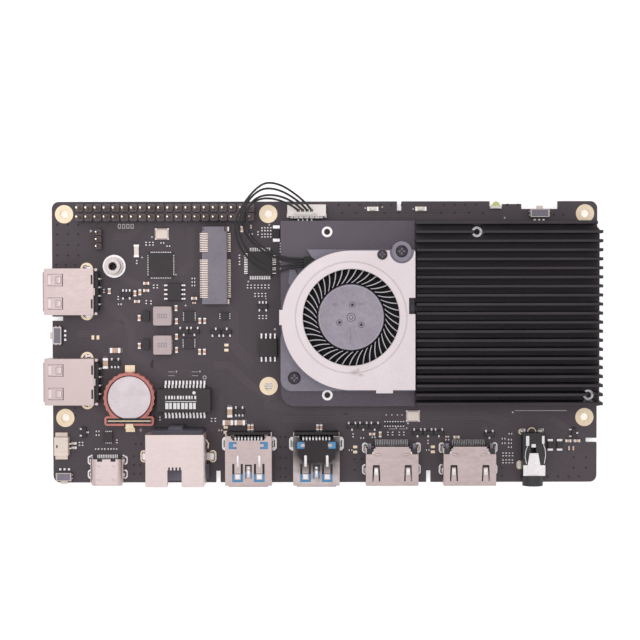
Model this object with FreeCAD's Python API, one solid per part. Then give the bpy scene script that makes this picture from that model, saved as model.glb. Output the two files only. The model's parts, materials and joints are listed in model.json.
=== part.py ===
import FreeCAD, Part
import math
import os

# Single board computer with a heatsink and blower. Millimetres, +Z up.
# Origin: centre of the outer four mounting holes, on the underside of the board.

V = FreeCAD.Vector

# ---- driving dimensions -------------------------------------------------------------------------
BOARD_LONG = 155.0
BOARD_WIDE = 80.0
TOP = 1.6                      # board thickness, so every part on it stands at this height
BOARD_LOW_Y = -47.5            # the connector edge
BOARD_HIGH_Y = BOARD_LOW_Y + BOARD_WIDE
BOARD_CORNER = 2.0
HALF = BOARD_LONG / 2
HOLE_R = 1.2
OUTER_HOLES = [(sx * 74.0, sy * 29.0) for sx in (-1, 1) for sy in (-1, 1)]
INNER_HOLES = [(-16.0, 29.0), (-16.0, -20.0)]
SLOT = 1.25                    # width of the slots in the board's edge
TAIL = 1.0                     # how far a pin comes through under the board

HEADER_PITCH = 2.54
HEADER_COUNT = 20
HEADER_AT = (-45.2, 29.3)
PIN = 0.64
PIN_TOP = 8.5
DEBUG_AT = (-64.1, 21.85)
DEBUG_PITCH = 2.0
DEBUG_TOP = 7.4

SINK_X = (-12.4, 77.4)
SINK_Y = (-25.4, 26.9)
SINK_LOW = 2.0                 # all three heights are above the board's top face
SINK_BASE = 5.0
SINK_TOP = 13.0
FIN_X = (25.45, 77.1)
FIN_COUNT = 21
FIN_THICK = 0.85
FIN_PITCH = 2.515
FIN_FIRST_Y = 26.1
SINK_SCREWS = [(0.7, 23.75), (0.7, -22.2), (42.8, 23.7), (74.2, -22.25)]
SCREW_HEAD = 1.3

FAN_AT = (7.3, -0.1)           # axis of the rotor
SCROLL_AT = (7.4, -0.95)       # centre of the blower's round side
SCROLL_R = 19.35
FAN_X = (-12.4, 25.26)
FAN_Y = (-20.83, 18.76)
FAN_TOP = 12.7
COVER = 0.4
INTAKE_R = 13.42
HUB_R = 9.2
BLADES = 43
BLADE_TIP_R = 15.6
BLADE_THICK = 0.34
BLADE_SWEEP = [(9.6, 13.6), (11.3, 4.4), (13.3, 0.0), (BLADE_TIP_R, 0.0)]
SHAFT_R = 0.75
SHAFT_GAP = 0.04
EAR_BOSS = (21.35, 18.2)
COVER_SCREW = (15.95, 17.3)
CORNER_SCREW = (-8.57, -17.16)

USB_WIDE = 13.1
USB_LONG = 13.9
USB_HIGH = 7.0
SHEET = 0.3                    # metal of every connector shell
USB_LEG_Y = 11.1
USB2_X = -78.8
USB2_Y = [7.05, -18.35]
USB3_X = [-21.55, -2.42]
USB3_Y = -47.65
# The tails behind a port: how many, their pitch, where they start, their height and their reach.
USB2_TAILS = (4, 2.4, USB_LONG + 0.95, 3.2, 0.65)
USB3_TAILS = (9, 0.92, USB_LONG - 1.3, 6.1, 1.2)
HDMI_X = [18.95, 40.85]
HDMI_Y = -47.85
HDMI_WIDE = 14.8
HDMI_LONG = 10.55
HDMI_HIGH = 6.1
JACK_AT = (-41.8, -47.2)       # the network jack
JACK_WIDE = 16.2
JACK_LONG = 14.6
JACK_HIGH = 13.3
USB_C_AT = (-62.0, -48.1)
AUDIO_AT = (58.95, -48.2)
POWER_AT = (-76.75, -36.9)
M2_AT = (-31.1, 14.4)
STANDOFF_AT = (-59.8, 14.2)
COIN_AT = (-55.45, -23.1)
COIN_R = 6.25
COIN_THICK = 2.0
TRANSFORMER_AT = (-39.8, -23.75)
FAN_PLUG_AT = (-5.55, 29.8)
FAN_HEADER_AT = (-5.06, 29.6)
# Each button's place, the way it faces, and the width of its frame.
BUTTONS = {"left_button": (-77.1, -5.45, -90, 5.0), "corner_button": (-74.3, -46.9, 0, 4.4),
           "edge_button": (60.97, 30.3, 180, 5.4)}
PRESS_GAP = 0.35               # room behind each button's plunger

WIRE_R = 0.3
WIRE_HOLES = [(-7.43, 29.8), (-6.18, 29.8), (-4.93, 29.8), (-3.68, 29.8)]
PLUG_TOP = TOP + 5.2
SEAL_X = -5.7
WIRE_END_Z = TOP + 9.0
# Each wire's route, from its place in the plug to the seal on the blower.
WIRE_ROUTES = {
    "fan_wire_1": [(-7.43, 29.8, PLUG_TOP), (-7.43, 29.8, 9.0), (-9.1, 31.0, 11.0), (-11.8, 32.2, 12.4),
                   (-14.9, 33.0, 13.3), (-18.1, 32.8, 13.6), (-20.9, 31.2, 13.6), (-22.5, 28.3, 13.4),
                   (-22.7, 25.0, 13.0), (-21.2, 22.0, 12.4), (-18.7, 19.4, 11.8), (-15.6, 17.3, 11.2),
                   (-12.2, 15.9, 10.8), (-8.8, 15.45, WIRE_END_Z), (SEAL_X, 15.45, WIRE_END_Z)],
    "fan_wire_2": [(-6.18, 29.8, PLUG_TOP), (-6.18, 29.8, 9.1), (-7.8, 31.3, 11.4), (-10.7, 33.0, 13.3),
                   (-14.2, 33.9, 14.4), (-17.7, 33.6, 14.8), (-20.3, 31.9, 14.8), (-21.5, 28.9, 14.5),
                   (-21.6, 25.5, 14.0), (-20.3, 22.4, 13.3), (-17.8, 19.8, 12.6), (-14.8, 17.8, 11.9),
                   (-11.7, 16.6, 11.3), (-8.8, 16.2, WIRE_END_Z), (SEAL_X, 16.2, WIRE_END_Z)],
    "fan_wire_3": [(-4.93, 29.8, PLUG_TOP), (-4.93, 29.8, 9.2), (-6.6, 31.6, 11.7), (-9.8, 33.9, 14.0),
                   (-13.5, 35.5, 15.2), (-17.1, 35.6, 15.6), (-20.0, 33.6, 15.6), (-22.1, 30.6, 15.3),
                   (-23.5, 27.4, 14.6), (-23.8, 24.0, 13.8), (-22.9, 20.7, 12.9), (-20.9, 17.7, 12.0),
                   (-18.0, 15.3, 11.3), (-14.8, 14.0, 10.9), (-11.5, 14.1, 10.7),
                   (-8.6, 14.7, WIRE_END_Z), (SEAL_X, 14.7, WIRE_END_Z)],
    "fan_wire_4": [(-3.68, 29.8, PLUG_TOP), (-3.68, 29.8, 9.3), (-5.2, 31.7, 12.1), (-8.5, 34.4, 14.7),
                   (-12.3, 36.7, 16.0), (-16.2, 37.3, 16.4), (-19.3, 35.2, 16.4), (-21.8, 32.1, 16.0),
                   (-23.9, 28.9, 15.2), (-24.9, 25.3, 14.2), (-24.5, 21.6, 13.0), (-22.8, 18.0, 11.9),
                   (-20.1, 14.9, 11.0), (-16.7, 12.9, 10.5), (-12.9, 12.5, 10.3),
                   (-9.2, 13.95, WIRE_END_Z), (SEAL_X, 13.95, WIRE_END_Z)],
}

PARTS = {}
BOARD_HOLES = []               # (x, y, radius, length along x, length along y)


# ---- small helpers ------------------------------------------------------------------------------
def block(x0, x1, y0, y1, z0, z1):
    return Part.makeBox(x1 - x0, y1 - y0, z1 - z0, V(x0, y0, z0))


def centred(x, y, z, size_x, size_y, size_z):
    """A box whose foot is centred on x, y and stands at height z."""
    return block(x - size_x / 2, x + size_x / 2, y - size_y / 2, y + size_y / 2, z, z + size_z)


def rod(x, y, z, radius, height, axis=V(0, 0, 1)):
    return Part.makeCylinder(radius, height, V(x, y, z), axis)


def ring(x, y, z, outer, inner, height):
    return rod(x, y, z, outer, height).cut(rod(x, y, z - 1, inner, height + 2))


def prism(points, z0, height):
    """A straight prism on an outline given as x, y points."""
    wire = Part.makePolygon([V(x, y, z0) for x, y in points] + [V(points[0][0], points[0][1], z0)])
    return Part.Face(wire).extrude(V(0, 0, height))


def side_prism(points, x0, width):
    """A prism along X on an outline given as y, z points."""
    corners = [V(x0, y, z) for y, z in points]
    return Part.Face(Part.makePolygon(corners + corners[:1])).extrude(V(width, 0, 0))


def front_prism(points, y0, depth):
    """A prism along Y on an outline given as x, z points."""
    corners = [V(x, y0, z) for x, z in points]
    return Part.Face(Part.makePolygon(corners + corners[:1])).extrude(V(0, depth, 0))


def rounded(x0, x1, y0, y1, z0, z1, radius):
    """A box with its four upright edges rounded."""
    solid = block(x0, x1, y0, y1, z0, z1)
    upright = [e for e in solid.Edges if abs(e.tangentAt(e.FirstParameter).z) > 0.9]
    return solid.makeFillet(radius, upright)


def joined(shapes):
    whole = shapes[0].fuse(shapes[1:]) if len(shapes) > 1 else shapes[0]
    return whole.removeSplitter()


def turned(shape, degrees, x=0.0, y=0.0, z=0.0):
    """A copy turned about its own Z axis and moved to x, y, z."""
    copy = shape.copy()
    copy.Placement = FreeCAD.Placement(V(x, y, z), FreeCAD.Rotation(V(0, 0, 1), degrees))
    return copy


def turned_point(point, degrees, x, y):
    a = math.radians(degrees)
    return (x + point[0] * math.cos(a) - point[1] * math.sin(a),
            y + point[0] * math.sin(a) + point[1] * math.cos(a))


def add(node, shape):
    """Adds a shape to a node; a node may hold many separate solids."""
    PARTS.setdefault(node, []).extend(shape.Solids)


def hole(x, y, radius, long_x=0.0, long_y=0.0):
    BOARD_HOLES.append((x, y, radius, long_x, long_y))


def opened(x, y, size_x, size_y):
    """An obround wire for a plated slot."""
    radius = min(size_x, size_y) / 2
    return rounded(x - size_x / 2, x + size_x / 2, y - size_y / 2, y + size_y / 2, -1, TOP + 1,
                   radius * 0.999)


# ---- pins and headers ---------------------------------------------------------------------------
def square_pin(x, y, low, high, size=PIN, taper=0.4):
    """An upright square pin with pointed ends."""
    h = size / 2
    tip = h * 0.5
    levels = [(low, tip), (low + taper, h), (high - taper, h), (high, tip)]
    wires = []
    for z, r in levels:
        corners = [V(x - r, y - r, z), V(x + r, y - r, z), V(x + r, y + r, z), V(x - r, y + r, z)]
        wires.append(Part.makePolygon(corners + corners[:1]))
    return Part.makeLoft(wires, True, True)


def header_strip(count, rows, pitch, height):
    """A header's plastic base: one chamfered cell per pin along x, centred on the origin."""
    nick = pitch * 0.16
    half_y = rows * pitch / 2
    x0 = -count * pitch / 2
    low, high = [], []
    for k in range(count):
        left = x0 + k * pitch
        low += [(left, -half_y + nick), (left + nick, -half_y), (left + pitch - nick, -half_y)]
        high += [(left, half_y - nick), (left + nick, half_y), (left + pitch - nick, half_y)]
    right = x0 + count * pitch
    outline = low + [(right, -half_y + nick), (right, half_y - nick)] + high[::-1]
    base = prism(outline, 0, height)
    pins = [(x0 + (k + 0.5) * pitch, (r - (rows - 1) / 2) * pitch) for k in range(count) for r in range(rows)]
    sockets = [centred(x, y, -1, PIN, PIN, height + 2) for x, y in pins]
    return base.cut(Part.makeCompound(sockets)), pins


def headers():
    base, pins = header_strip(HEADER_COUNT, 2, HEADER_PITCH, HEADER_PITCH)
    add("gpio_header_base", turned(base, 0, *HEADER_AT, TOP))
    for x, y in pins:
        x, y = x + HEADER_AT[0], y + HEADER_AT[1]
        add("header_pins", square_pin(x, y, -TAIL, TOP + PIN_TOP))
        hole(x, y, 0.48)
    base, pins = header_strip(3, 1, DEBUG_PITCH, DEBUG_PITCH)
    add("debug_header_base", turned(base, 90, *DEBUG_AT, TOP))
    for pin in pins:
        x, y = turned_point(pin, 90, *DEBUG_AT)
        add("header_pins", square_pin(x, y, -TAIL, TOP + DEBUG_TOP))
        hole(x, y, 0.48)


# ---- connectors: each is modelled with its mouth at y = 0 facing -Y, then turned into place -------
def finger_gap(x, y, wide, long, slit, attached_at_mouth):
    """The U-shaped slit round a spring finger in a shell's top face, as one cutting solid."""
    outer = block(x - wide / 2, x + wide / 2, y, y + long, USB_HIGH - 0.6, USB_HIGH + 1)
    keep_y = (y - 1, y + long - slit) if attached_at_mouth else (y + slit, y + long + 1)
    return outer.cut(block(x - wide / 2 + slit, x + wide / 2 - slit, *keep_y, 0, USB_HIGH + 2))


def usb_shell(is_usb3):
    w, t = USB_WIDE / 2, SHEET
    shell = rounded(-w, w, 0, USB_LONG, 0, USB_HIGH, 0.01)
    shell = shell.cut(block(-w + t, w - t, -1, USB_LONG - t, t, USB_HIGH - t))
    cuts = [block(-w + 1.2, w - 1.2, USB_LONG - 1, USB_LONG + 1, t, USB_HIGH - 1.6)]
    if is_usb3:
        back = USB_LONG + 0.1
        cuts.append(prism([(-5.3, back), (-4.3, back - 1.2), (4.3, back - 1.2), (5.3, back)], 4.0, 4))
        cuts.append(block(-4.3, 4.3, USB_LONG - 1.3, USB_LONG + 1, -1, 1.0))
        for side in (-1, 1):
            cuts.append(finger_gap(side * 3.05, 1.1, 3.0, 5.1, 0.62, False))
            cuts.append(block(min(side * 3.3, side * 5.5), max(side * 3.3, side * 5.5), 10.4, 12.4, 5.5, 8))
        cuts.append(finger_gap(0, 2.0, 1.9, 4.0, 0.4, True))
    else:
        for side in (-1, 1):
            cuts.append(finger_gap(side * 3.3, 1.0, 3.4, 4.4, 0.22, True))
            cuts.append(block(side * 3.4 - 1.3, side * 3.4 + 1.3, USB_LONG - 0.7, USB_LONG - 0.2, 5.4, 8))
    for side in (-1, 1):
        cuts.append(block(side * w - 1, side * w + 1, 3.4, 8.2, 2.6, 2.85))
        cuts.append(block(side * w - 1, side * w + 1, 3.4, 8.2, 4.15, 4.4))
        cuts.append(block(side * w - 1, side * w + 1, 8.2, 8.45, 2.6, 4.4))
    shell = shell.cut(Part.makeCompound(cuts))
    extras = []
    for side in (-1, 1):
        edge = side * (w - t / 2)
        extras.append(centred(edge, USB_LEG_Y, -TOP - TAIL, t, 1.5, TOP + TAIL + 0.4))
        extras.append(block(edge - t / 2, edge + t / 2, USB_LONG - 0.1, USB_LONG + 1.1, 4.6, 5.4))
    lip = [(-0.25, USB_HIGH + 0.22), (0.2, USB_HIGH - 0.12), (0.2, USB_HIGH - t), (-0.2, USB_HIGH - 0.02)]
    extras.append(side_prism(lip, -w + 1.0, USB_WIDE - 2.0))
    return joined([shell] + extras)


def usb_core(is_usb3):
    """The plastic body at the back of the shell, its tongue, and the ledge behind the shell."""
    w = USB_WIDE / 2 - SHEET
    tongue_z = 3.6 if is_usb3 else 3.9
    tongue = block(-5.6, 5.6, 0.9, 9.6, tongue_z, tongue_z + 1.7)
    if is_usb3:
        rear = block(-w, w, 9.6, USB_LONG - 1.3, SHEET, USB_HIGH - SHEET)
        lining = block(-w, w, 0.9, 9.6, USB_HIGH - SHEET - 0.45, USB_HIGH - SHEET)
        return joined([rear, tongue, lining])
    rear = block(-w, w, 9.6, USB_LONG - SHEET, SHEET, USB_HIGH - SHEET)
    neck = block(-w + 0.9, w - 0.9, USB_LONG - SHEET, USB_LONG, SHEET, USB_HIGH - 1.6)
    ledge = block(-w + 0.9, w - 0.9, USB_LONG, USB_LONG + 0.95, 0, 5.0)
    return joined([rear, tongue, neck, ledge])


def usb_contacts(is_usb3):
    """Strips under the tongue and the tails behind, kept clear of the plastic they lie on."""
    tongue_z = 3.6 if is_usb3 else 3.9
    strips = [centred(x, 5.0, tongue_z - 0.15, 1.0, 6.6, 0.15) for x in (-3.5, -1.0, 1.0, 3.5)]
    count, pitch, back, top, reach = USB3_TAILS if is_usb3 else USB2_TAILS
    for k in range(count):
        x = (k - (count - 1) / 2) * pitch
        tail = [(back, top), (back + reach - 0.3, top), (back + reach, top - 0.5), (back + reach, -TOP - TAIL),
                (back + reach - 0.3, -TOP - TAIL), (back + reach - 0.3, top - 0.6), (back, top - 0.4)]
        strips.append(side_prism(tail, x - 0.22, 0.44))
    return Part.makeCompound(strips)


def usb_ports():
    places = [(USB2_X, y, -90, False) for y in USB2_Y] + [(x, USB3_Y, 0, True) for x in USB3_X]
    shells = {kind: usb_shell(kind) for kind in (False, True)}
    cores = {kind: usb_core(kind) for kind in (False, True)}
    strips = {kind: usb_contacts(kind) for kind in (False, True)}
    for k, (x, y, turn, is_usb3) in enumerate(places):
        group = "usb3" if is_usb3 else "usb2"
        add(f"{group}_port_{k % 2 + 1}_shell", turned(shells[is_usb3], turn, x, y, TOP))
        add(f"{group}_cores", turned(cores[is_usb3], turn, x, y, TOP))
        add("port_contacts", turned(strips[is_usb3], turn, x, y, TOP))
        for side in (-1, 1):
            px, py = turned_point((side * (USB_WIDE - SHEET) / 2, USB_LEG_Y), turn, x, y)
            if is_usb3:
                hole(px, py, 0.45, 0.9, 2.2)
            else:
                hole(px, py, 1.15)
        count, pitch, back, top, reach = USB3_TAILS if is_usb3 else USB2_TAILS
        for n in range(count):
            px, py = turned_point(((n - (count - 1) / 2) * pitch, back + reach - 0.15), turn, x, y)
            hole(px, py, 0.32)


def hdmi_outline(inset):
    w, h = HDMI_WIDE / 2 - inset, HDMI_HIGH - inset
    return [(-w, h), (-w, 1.9), (-w + 1.45, inset), (w - 1.45, inset), (w, 1.9), (w, h)]


def hdmi_shell():
    t = SHEET
    shell = front_prism(hdmi_outline(0), 0, HDMI_LONG).cut(front_prism(hdmi_outline(t), -1, HDMI_LONG + 2))
    cuts, extras = [], []
    for side in (-1, 1):
        x = side * 4.5
        outer = prism([(x - 1.15, 1.3), (x + 1.15, 1.3), (x + 0.95, 5.9), (x - 0.95, 5.9)], 5.0, 2)
        inner = prism([(x - 0.8, 0.0), (x + 0.8, 0.0), (x + 0.55, 5.2), (x - 0.55, 5.2)], 4.0, 4)
        cuts.append(outer.cut(inner))
        cuts.append(block(min(side * 5.2, side * 9), max(side * 5.2, side * 9), HDMI_LONG - 1.6, HDMI_LONG + 1,
                          HDMI_HIGH - 1.2, 9))
        edge = side * (HDMI_WIDE / 2 + t / 2 - 0.02)
        for y in (4.0, 10.2):
            extras.append(block(edge - t / 2, edge + t / 2, y - 0.7, y + 0.7, -TOP - TAIL, 2.6))
    rear_lip = block(-4.7, 4.7, HDMI_LONG - 0.2, HDMI_LONG + 0.5, HDMI_HIGH - t, HDMI_HIGH)
    return joined([shell.cut(Part.makeCompound(cuts)), rear_lip] + extras)


def hdmi_core():
    t = SHEET
    rear = front_prism(hdmi_outline(t), 6.8, HDMI_LONG - 7.0)
    tongue = block(-5.3, 5.3, 0.8, 6.8, 2.7, 4.1)
    ledge = block(-5.0, 5.0, HDMI_LONG - 0.2, HDMI_LONG + 0.3, 0.5, 4.6)
    return joined([rear, tongue, ledge])


def hdmi_contacts():
    strips = []
    for k in range(19):
        x = (k - 9) * 0.5
        strips.append(block(x - 0.14, x + 0.14, 1.6, 6.6, *((4.1, 4.2) if k % 2 else (2.6, 2.7))))
        y0 = HDMI_LONG + 0.3
        tail = [(y0, 1.5), (y0 + 0.5, 0.95), (y0 + 1.7, 0.14), (y0 + 1.7, 0.0), (y0 + 0.4, 0.0), (y0, 0.6)]
        strips.append(side_prism(tail, x - 0.14, 0.28))
    return Part.makeCompound(strips)


def hdmi_ports():
    shell, core, strips = hdmi_shell(), hdmi_core(), hdmi_contacts()
    for k, x in enumerate(HDMI_X):
        add(f"hdmi_port_{k + 1}_shell", turned(shell, 0, x, HDMI_Y, TOP))
        add("hdmi_cores", turned(core, 0, x, HDMI_Y, TOP))
        add("port_contacts", turned(strips, 0, x, HDMI_Y, TOP))
        for side in (-1, 1):
            for y in (4.0, 10.2):
                hole(x + side * (HDMI_WIDE / 2 + 0.13), HDMI_Y + y, 0.5, 1.0, 2.2)


def usb_c_port():
    w, h, long = 8.94 / 2, 3.16, 7.6
    outer = block(-w, w, 0, long, 0, h)
    along = [e for e in outer.Edges if abs(e.tangentAt(e.FirstParameter).y) > 0.9]
    outer = outer.makeFillet(h / 2 - 0.01, along)
    t = SHEET
    inner = block(-w + t, w - t, -1, long + 1, t, h - t)
    along = [e for e in inner.Edges if abs(e.tangentAt(e.FirstParameter).y) > 0.9]
    bore = inner.makeFillet(h / 2 - t - 0.01, along)
    shell = outer.cut(bore)
    legs = []
    for side in (-1, 1):
        for y in (3.0, 7.0):
            legs.append(block(min(side * 4.3, side * 5.0), max(side * 4.3, side * 5.0), y - 0.5, y + 0.5, 1.2, 1.5))
            legs.append(block(min(side * 4.7, side * 5.0), max(side * 4.7, side * 5.0), y - 0.5, y + 0.5,
                              -TOP - TAIL, 1.5))
    shell = joined([shell] + legs)
    rear = bore.common(block(-w, w, 5.4, long, 0, h))
    core = joined([rear, block(-3.35, 3.35, 1.0, 5.4, h / 2 - 0.35, h / 2 + 0.35)])
    pads = [centred((k - 5.5) * 0.5, long + 0.5, 0, 0.28, 1.0, 0.3) for k in range(12)]
    strips = [centred((k - 5.5) * 0.5, 3.0, h / 2 + 0.35, 0.25, 3.4, 0.06) for k in range(12)]
    x, y = USB_C_AT
    add("usb_c_shell", turned(shell, 0, x, y, TOP))
    add("usb_c_core", turned(core, 0, x, y, TOP))
    add("port_contacts", turned(Part.makeCompound(pads + strips), 0, x, y, TOP))
    for side in (-1, 1):
        for leg_y in (3.0, 7.0):
            hole(x + side * 4.85, y + leg_y, 0.45, 0.9, 1.8)


def network_jack():
    w, t = JACK_WIDE / 2, SHEET
    shell = block(-w, w, 0, JACK_LONG, 0, JACK_HIGH)
    shell = shell.cut(block(-w + t, w - t, -1, JACK_LONG - t, -1, JACK_HIGH - t))
    cuts = [block(-1.96, 1.96, -1, 4.7, JACK_HIGH - 1, JACK_HIGH + 1),
            block(-w + 1.5, w - 1.5, JACK_LONG - 1, JACK_LONG + 1, -1, JACK_HIGH - 2.2)]
    for side in (-1, 1):
        cuts.append(block(side * w - 1, side * w + 1, 2.0, 6.0, 6.0, 6.3))
        cuts.append(block(side * w - 1, side * w + 1, 2.0, 6.0, 8.7, 9.0))
    extras = []
    for side in (-1, 1):
        x0, x1 = sorted((side * (w - t), side * (w + 1.9)))
        extras.append(block(x0, x1, 6.1, 8.3, 0.5, 0.8))
        x0, x1 = sorted((side * (w + 1.6), side * (w + 1.9)))
        extras.append(block(x0, x1, 6.4, 8.0, -TOP - TAIL, 0.8))
    shell = joined([shell.cut(Part.makeCompound(cuts))] + extras)

    body = block(-w + t, w - t, 0.4, JACK_LONG - t, 0, JACK_HIGH - t)
    cavity = block(-5.85, 5.85, -1, 11.2, 1.9, 9.6)
    latch = block(-3.1, 3.1, -1, 7.2, 9.0, 11.4)
    slot = block(-1.96, 1.96, -1, 4.7, 9.0, JACK_HIGH)
    teeth = [block(x - 0.22, x + 0.22, 4.6, 5.7, 11.0, JACK_HIGH + 1) for x in (-1.5, -0.5, 0.5, 1.5)]
    body = body.cut(Part.makeCompound([cavity, latch, slot] + teeth))
    back = block(-w + 1.4, w - 0.5, JACK_LONG, JACK_LONG + 0.9, 0, 11.0)
    bump = prism([(-2.2, JACK_LONG + 0.9), (2.2, JACK_LONG + 0.9), (1.8, JACK_LONG + 1.9),
                  (-1.8, JACK_LONG + 1.9)], 0, 10.5)
    bridge = block(-w + 1.5, w - 1.5, JACK_LONG - t, JACK_LONG, 0, JACK_HIGH - 2.2)
    body = joined([body, bridge, back, bump])

    wires = []
    for k in range(8):
        x = (k - 3.5) * 1.02
        path = [(11.2, 2.5), (11.2, 2.2), (9.8, 2.2), (4.2, 4.4), (4.2, 4.7)]
        wires.append(side_prism(path, x - 0.18, 0.36))
        pin_y = JACK_LONG - 4.0 - (k % 2) * 2.54
        wires.append(rod(x, pin_y, -TOP - TAIL, 0.25, TOP + TAIL))
    x, y = JACK_AT
    add("network_jack_shell", turned(shell, 0, x, y, TOP))
    add("network_jack_core", turned(body, 0, x, y, TOP))
    add("port_contacts", turned(Part.makeCompound(wires), 0, x, y, TOP))
    for side in (-1, 1):
        hole(x + side * (w + 1.75), y + 7.2, 0.5, 1.2, 2.6)
    for k in range(8):
        hole(x + (k - 3.5) * 1.02, y + JACK_LONG - 4.0 - (k % 2) * 2.54, 0.4)


def audio_jack():
    body = block(-3.0, 3.4, 3.0, 15.0, 0, 4.6)
    collar = rod(0, 1.0, 2.5, 3.0, 2.0, V(0, 1, 0)).common(block(-4, 4, 0, 4, 0, 6))
    nose = rod(0, 0, 2.5, 2.9, 3.0, V(0, 1, 0)).common(block(-4, 4, -1, 4, 0, 6))
    body = joined([body, nose, collar])
    pockets = [block(-2.2, -1.2, 11.4, 14.4, 3.6, 6), block(2.3, 3.1, 12.0, 14.4, 3.6, 6),
               block(-0.7, 0.7, 9.4, 12.1, 3.6, 6)]
    body = body.cut(Part.makeCompound(pockets + [rod(0, -1, 2.5, 1.8, 12.0, V(0, 1, 0))]))
    plate = prism([(-2.9, 3.0), (3.3, 3.0), (3.3, 6.0), (1.9, 6.0), (1.3, 9.4), (-1.1, 9.4), (-1.7, 6.0),
                   (-2.9, 6.0)], 4.6, 0.3)
    springs = [plate, block(-2.15, -1.25, 11.5, 14.3, 3.6, 4.9), block(2.35, 3.05, 12.1, 14.3, 3.6, 4.9),
               block(-0.6, 0.6, 11.05, 12.0, 3.6, 4.9)]
    springs += [block(x, x + 1.4, 15.0, 15.9, 0, 0.3) for x in (-3.2, 2.0)]
    springs.append(block(-3.9, -3.0, 4.5, 6.6, 0, 0.3))
    add("audio_jack_body", turned(body, 0, *AUDIO_AT, TOP))
    add("audio_jack_springs", turned(Part.makeCompound(springs), 0, *AUDIO_AT, TOP))


def m2_socket():
    """The card socket, its mouth facing -X, and the standoff that holds a card's far end."""
    x, y = M2_AT
    wide, long = 7.0, 21.9
    body = centred(x, y, TOP, wide, long, 4.2)
    x0 = x - wide / 2
    body = body.cut(block(x0 - 1, x0 + 5.0, y - 10.1, y + 10.1, TOP + 2.2, TOP + 3.2))
    comb = [block(x0 - 1, x0 + 1.7, y - 9.2, y + 1.75, TOP + 3.8, TOP + 5),
            block(x0 - 1, x0 + 1.7, y + 3.6, y + 9.2, TOP + 3.8, TOP + 5),
            block(x0 - 1, x0 + 0.6, y + 9.9, y + 12, TOP + 3.2, TOP + 5),
            block(x0 + wide - 0.7, x0 + wide + 1, y + 9.6, y + 12, TOP + 2.0, TOP + 5)]
    add("m2_socket_body", joined([body.cut(Part.makeCompound(comb))]))
    rows = [k for k in range(-18, 19) if k not in (4, 5, 6, 7)]
    for k in rows:
        cy = y + k * 0.5
        if not y + 1.6 < cy < y + 3.6:
            add("m2_socket_contacts", block(x0 - 0.05, x0 + 1.65, cy - 0.13, cy + 0.13, TOP + 3.8, TOP + 4.05))
        add("m2_socket_contacts", block(x0 - 0.85, x0, cy - 0.13, cy + 0.13, TOP, TOP + 0.35))
        add("m2_socket_contacts", block(x0 + wide, x0 + wide + 0.9, cy - 0.13, cy + 0.13, TOP, TOP + 0.35))
    for sy in (-1, 1):
        add("m2_socket_contacts", centred(x0 + wide + 0.25, y + sy * 10.3, TOP, 0.5, 1.3, 1.2))
    x, y = STANDOFF_AT
    post = joined([rod(x, y, TOP, 3.2, 0.5), rod(x, y, TOP + 0.5, 2.6, 1.9), rod(x, y, TOP + 2.4, 2.1, 1.8)])
    add("m2_standoff", post.cut(rod(x, y, TOP - 1, 1.0, 7)))


def fan_socket():
    """The white wafer on the board and the plug that sits in it."""
    x, y = FAN_HEADER_AT
    px, py = FAN_PLUG_AT
    wafer = centred(x, y + 0.25, TOP, 10.9, 3.3, 3.9)
    wafer = wafer.fuse(block(x - 4.6, x + 4.6, y - 2.0, y - 1.4, TOP, TOP + 3.3))
    wafer = wafer.cut(centred(px, py, TOP + 1.0, 6.9, 2.2, 6))
    add("fan_header", joined([wafer]))
    plug = centred(px, py, TOP + 1.0, 6.9, 2.2, 3.0)
    plug = plug.fuse(centred(px, py + 0.1, TOP + 3.9, 7.1, 2.5, 1.3))
    ribs = [centred(px + k * 1.25, py - 0.95, TOP + 4.6, 0.5, 0.4, 2) for k in (-2.2, 2.2)]
    add("fan_plug", joined([plug.cut(Part.makeCompound(ribs))]))


def power_header():
    x, y = POWER_AT
    body = block(0, 3.9, -2.6, 2.6, 0, 3.3).cut(block(-1, 3.0, -2.0, 2.0, 0.6, 2.8))
    wings = [block(0.1, 3.5, sy * 3.2 - 0.6, sy * 3.2 + 0.6, 0, 1.6) for sy in (-1, 1)]
    body = joined([body] + wings)
    body = body.cut(Part.makeCompound([block(2.0, 4.0, sy * 0.625 - 0.16, sy * 0.625 + 0.16, 1.5, 1.82)
                                       for sy in (-1, 1)]))
    add("power_header", turned(body, 0, x, y, TOP))
    for sy in (-1, 1):
        pin = joined([block(1.0, 4.6, -0.16, 0.16, 1.5, 1.82), block(4.3, 4.6, -0.16, 0.16, 0, 1.5),
                      block(4.3, 5.6, -0.16, 0.16, 0, 0.3)])
        add("header_pins", turned(pin, 0, x, y + sy * 0.625, TOP))


def buttons():
    """Side-pressed switches: a frame with a cavity, and a plunger that slides 0.25 mm into it."""
    room = [block(-1.0, 1.0, -1, 1.0 + PRESS_GAP, 0.45, 1.45), block(-1.35, 1.35, 0.5, 1.0 + PRESS_GAP, 0.35, 1.55)]
    plunger = joined([block(-0.93, 0.93, -0.9, 1.0, 0.52, 1.38), block(-1.25, 1.25, 0.57, 1.0, 0.45, 1.45)])
    for node, (x, y, turn, wide) in BUTTONS.items():
        frame = rounded(-wide / 2, wide / 2, 0, 2.4, 0, 1.9, 0.15).cut(Part.makeCompound(room))
        add("button_frames", turned(frame, turn, x, y, TOP))
        add(node, turned(plunger, turn, x, y, TOP))
        for k in (-1, 0, 1):
            px, py = turned_point((k * 1.25, 3.2), turn, x, y)
            add("chip_leads", centred(px, py, TOP, 0.6, 0.6, 0.12))


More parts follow.
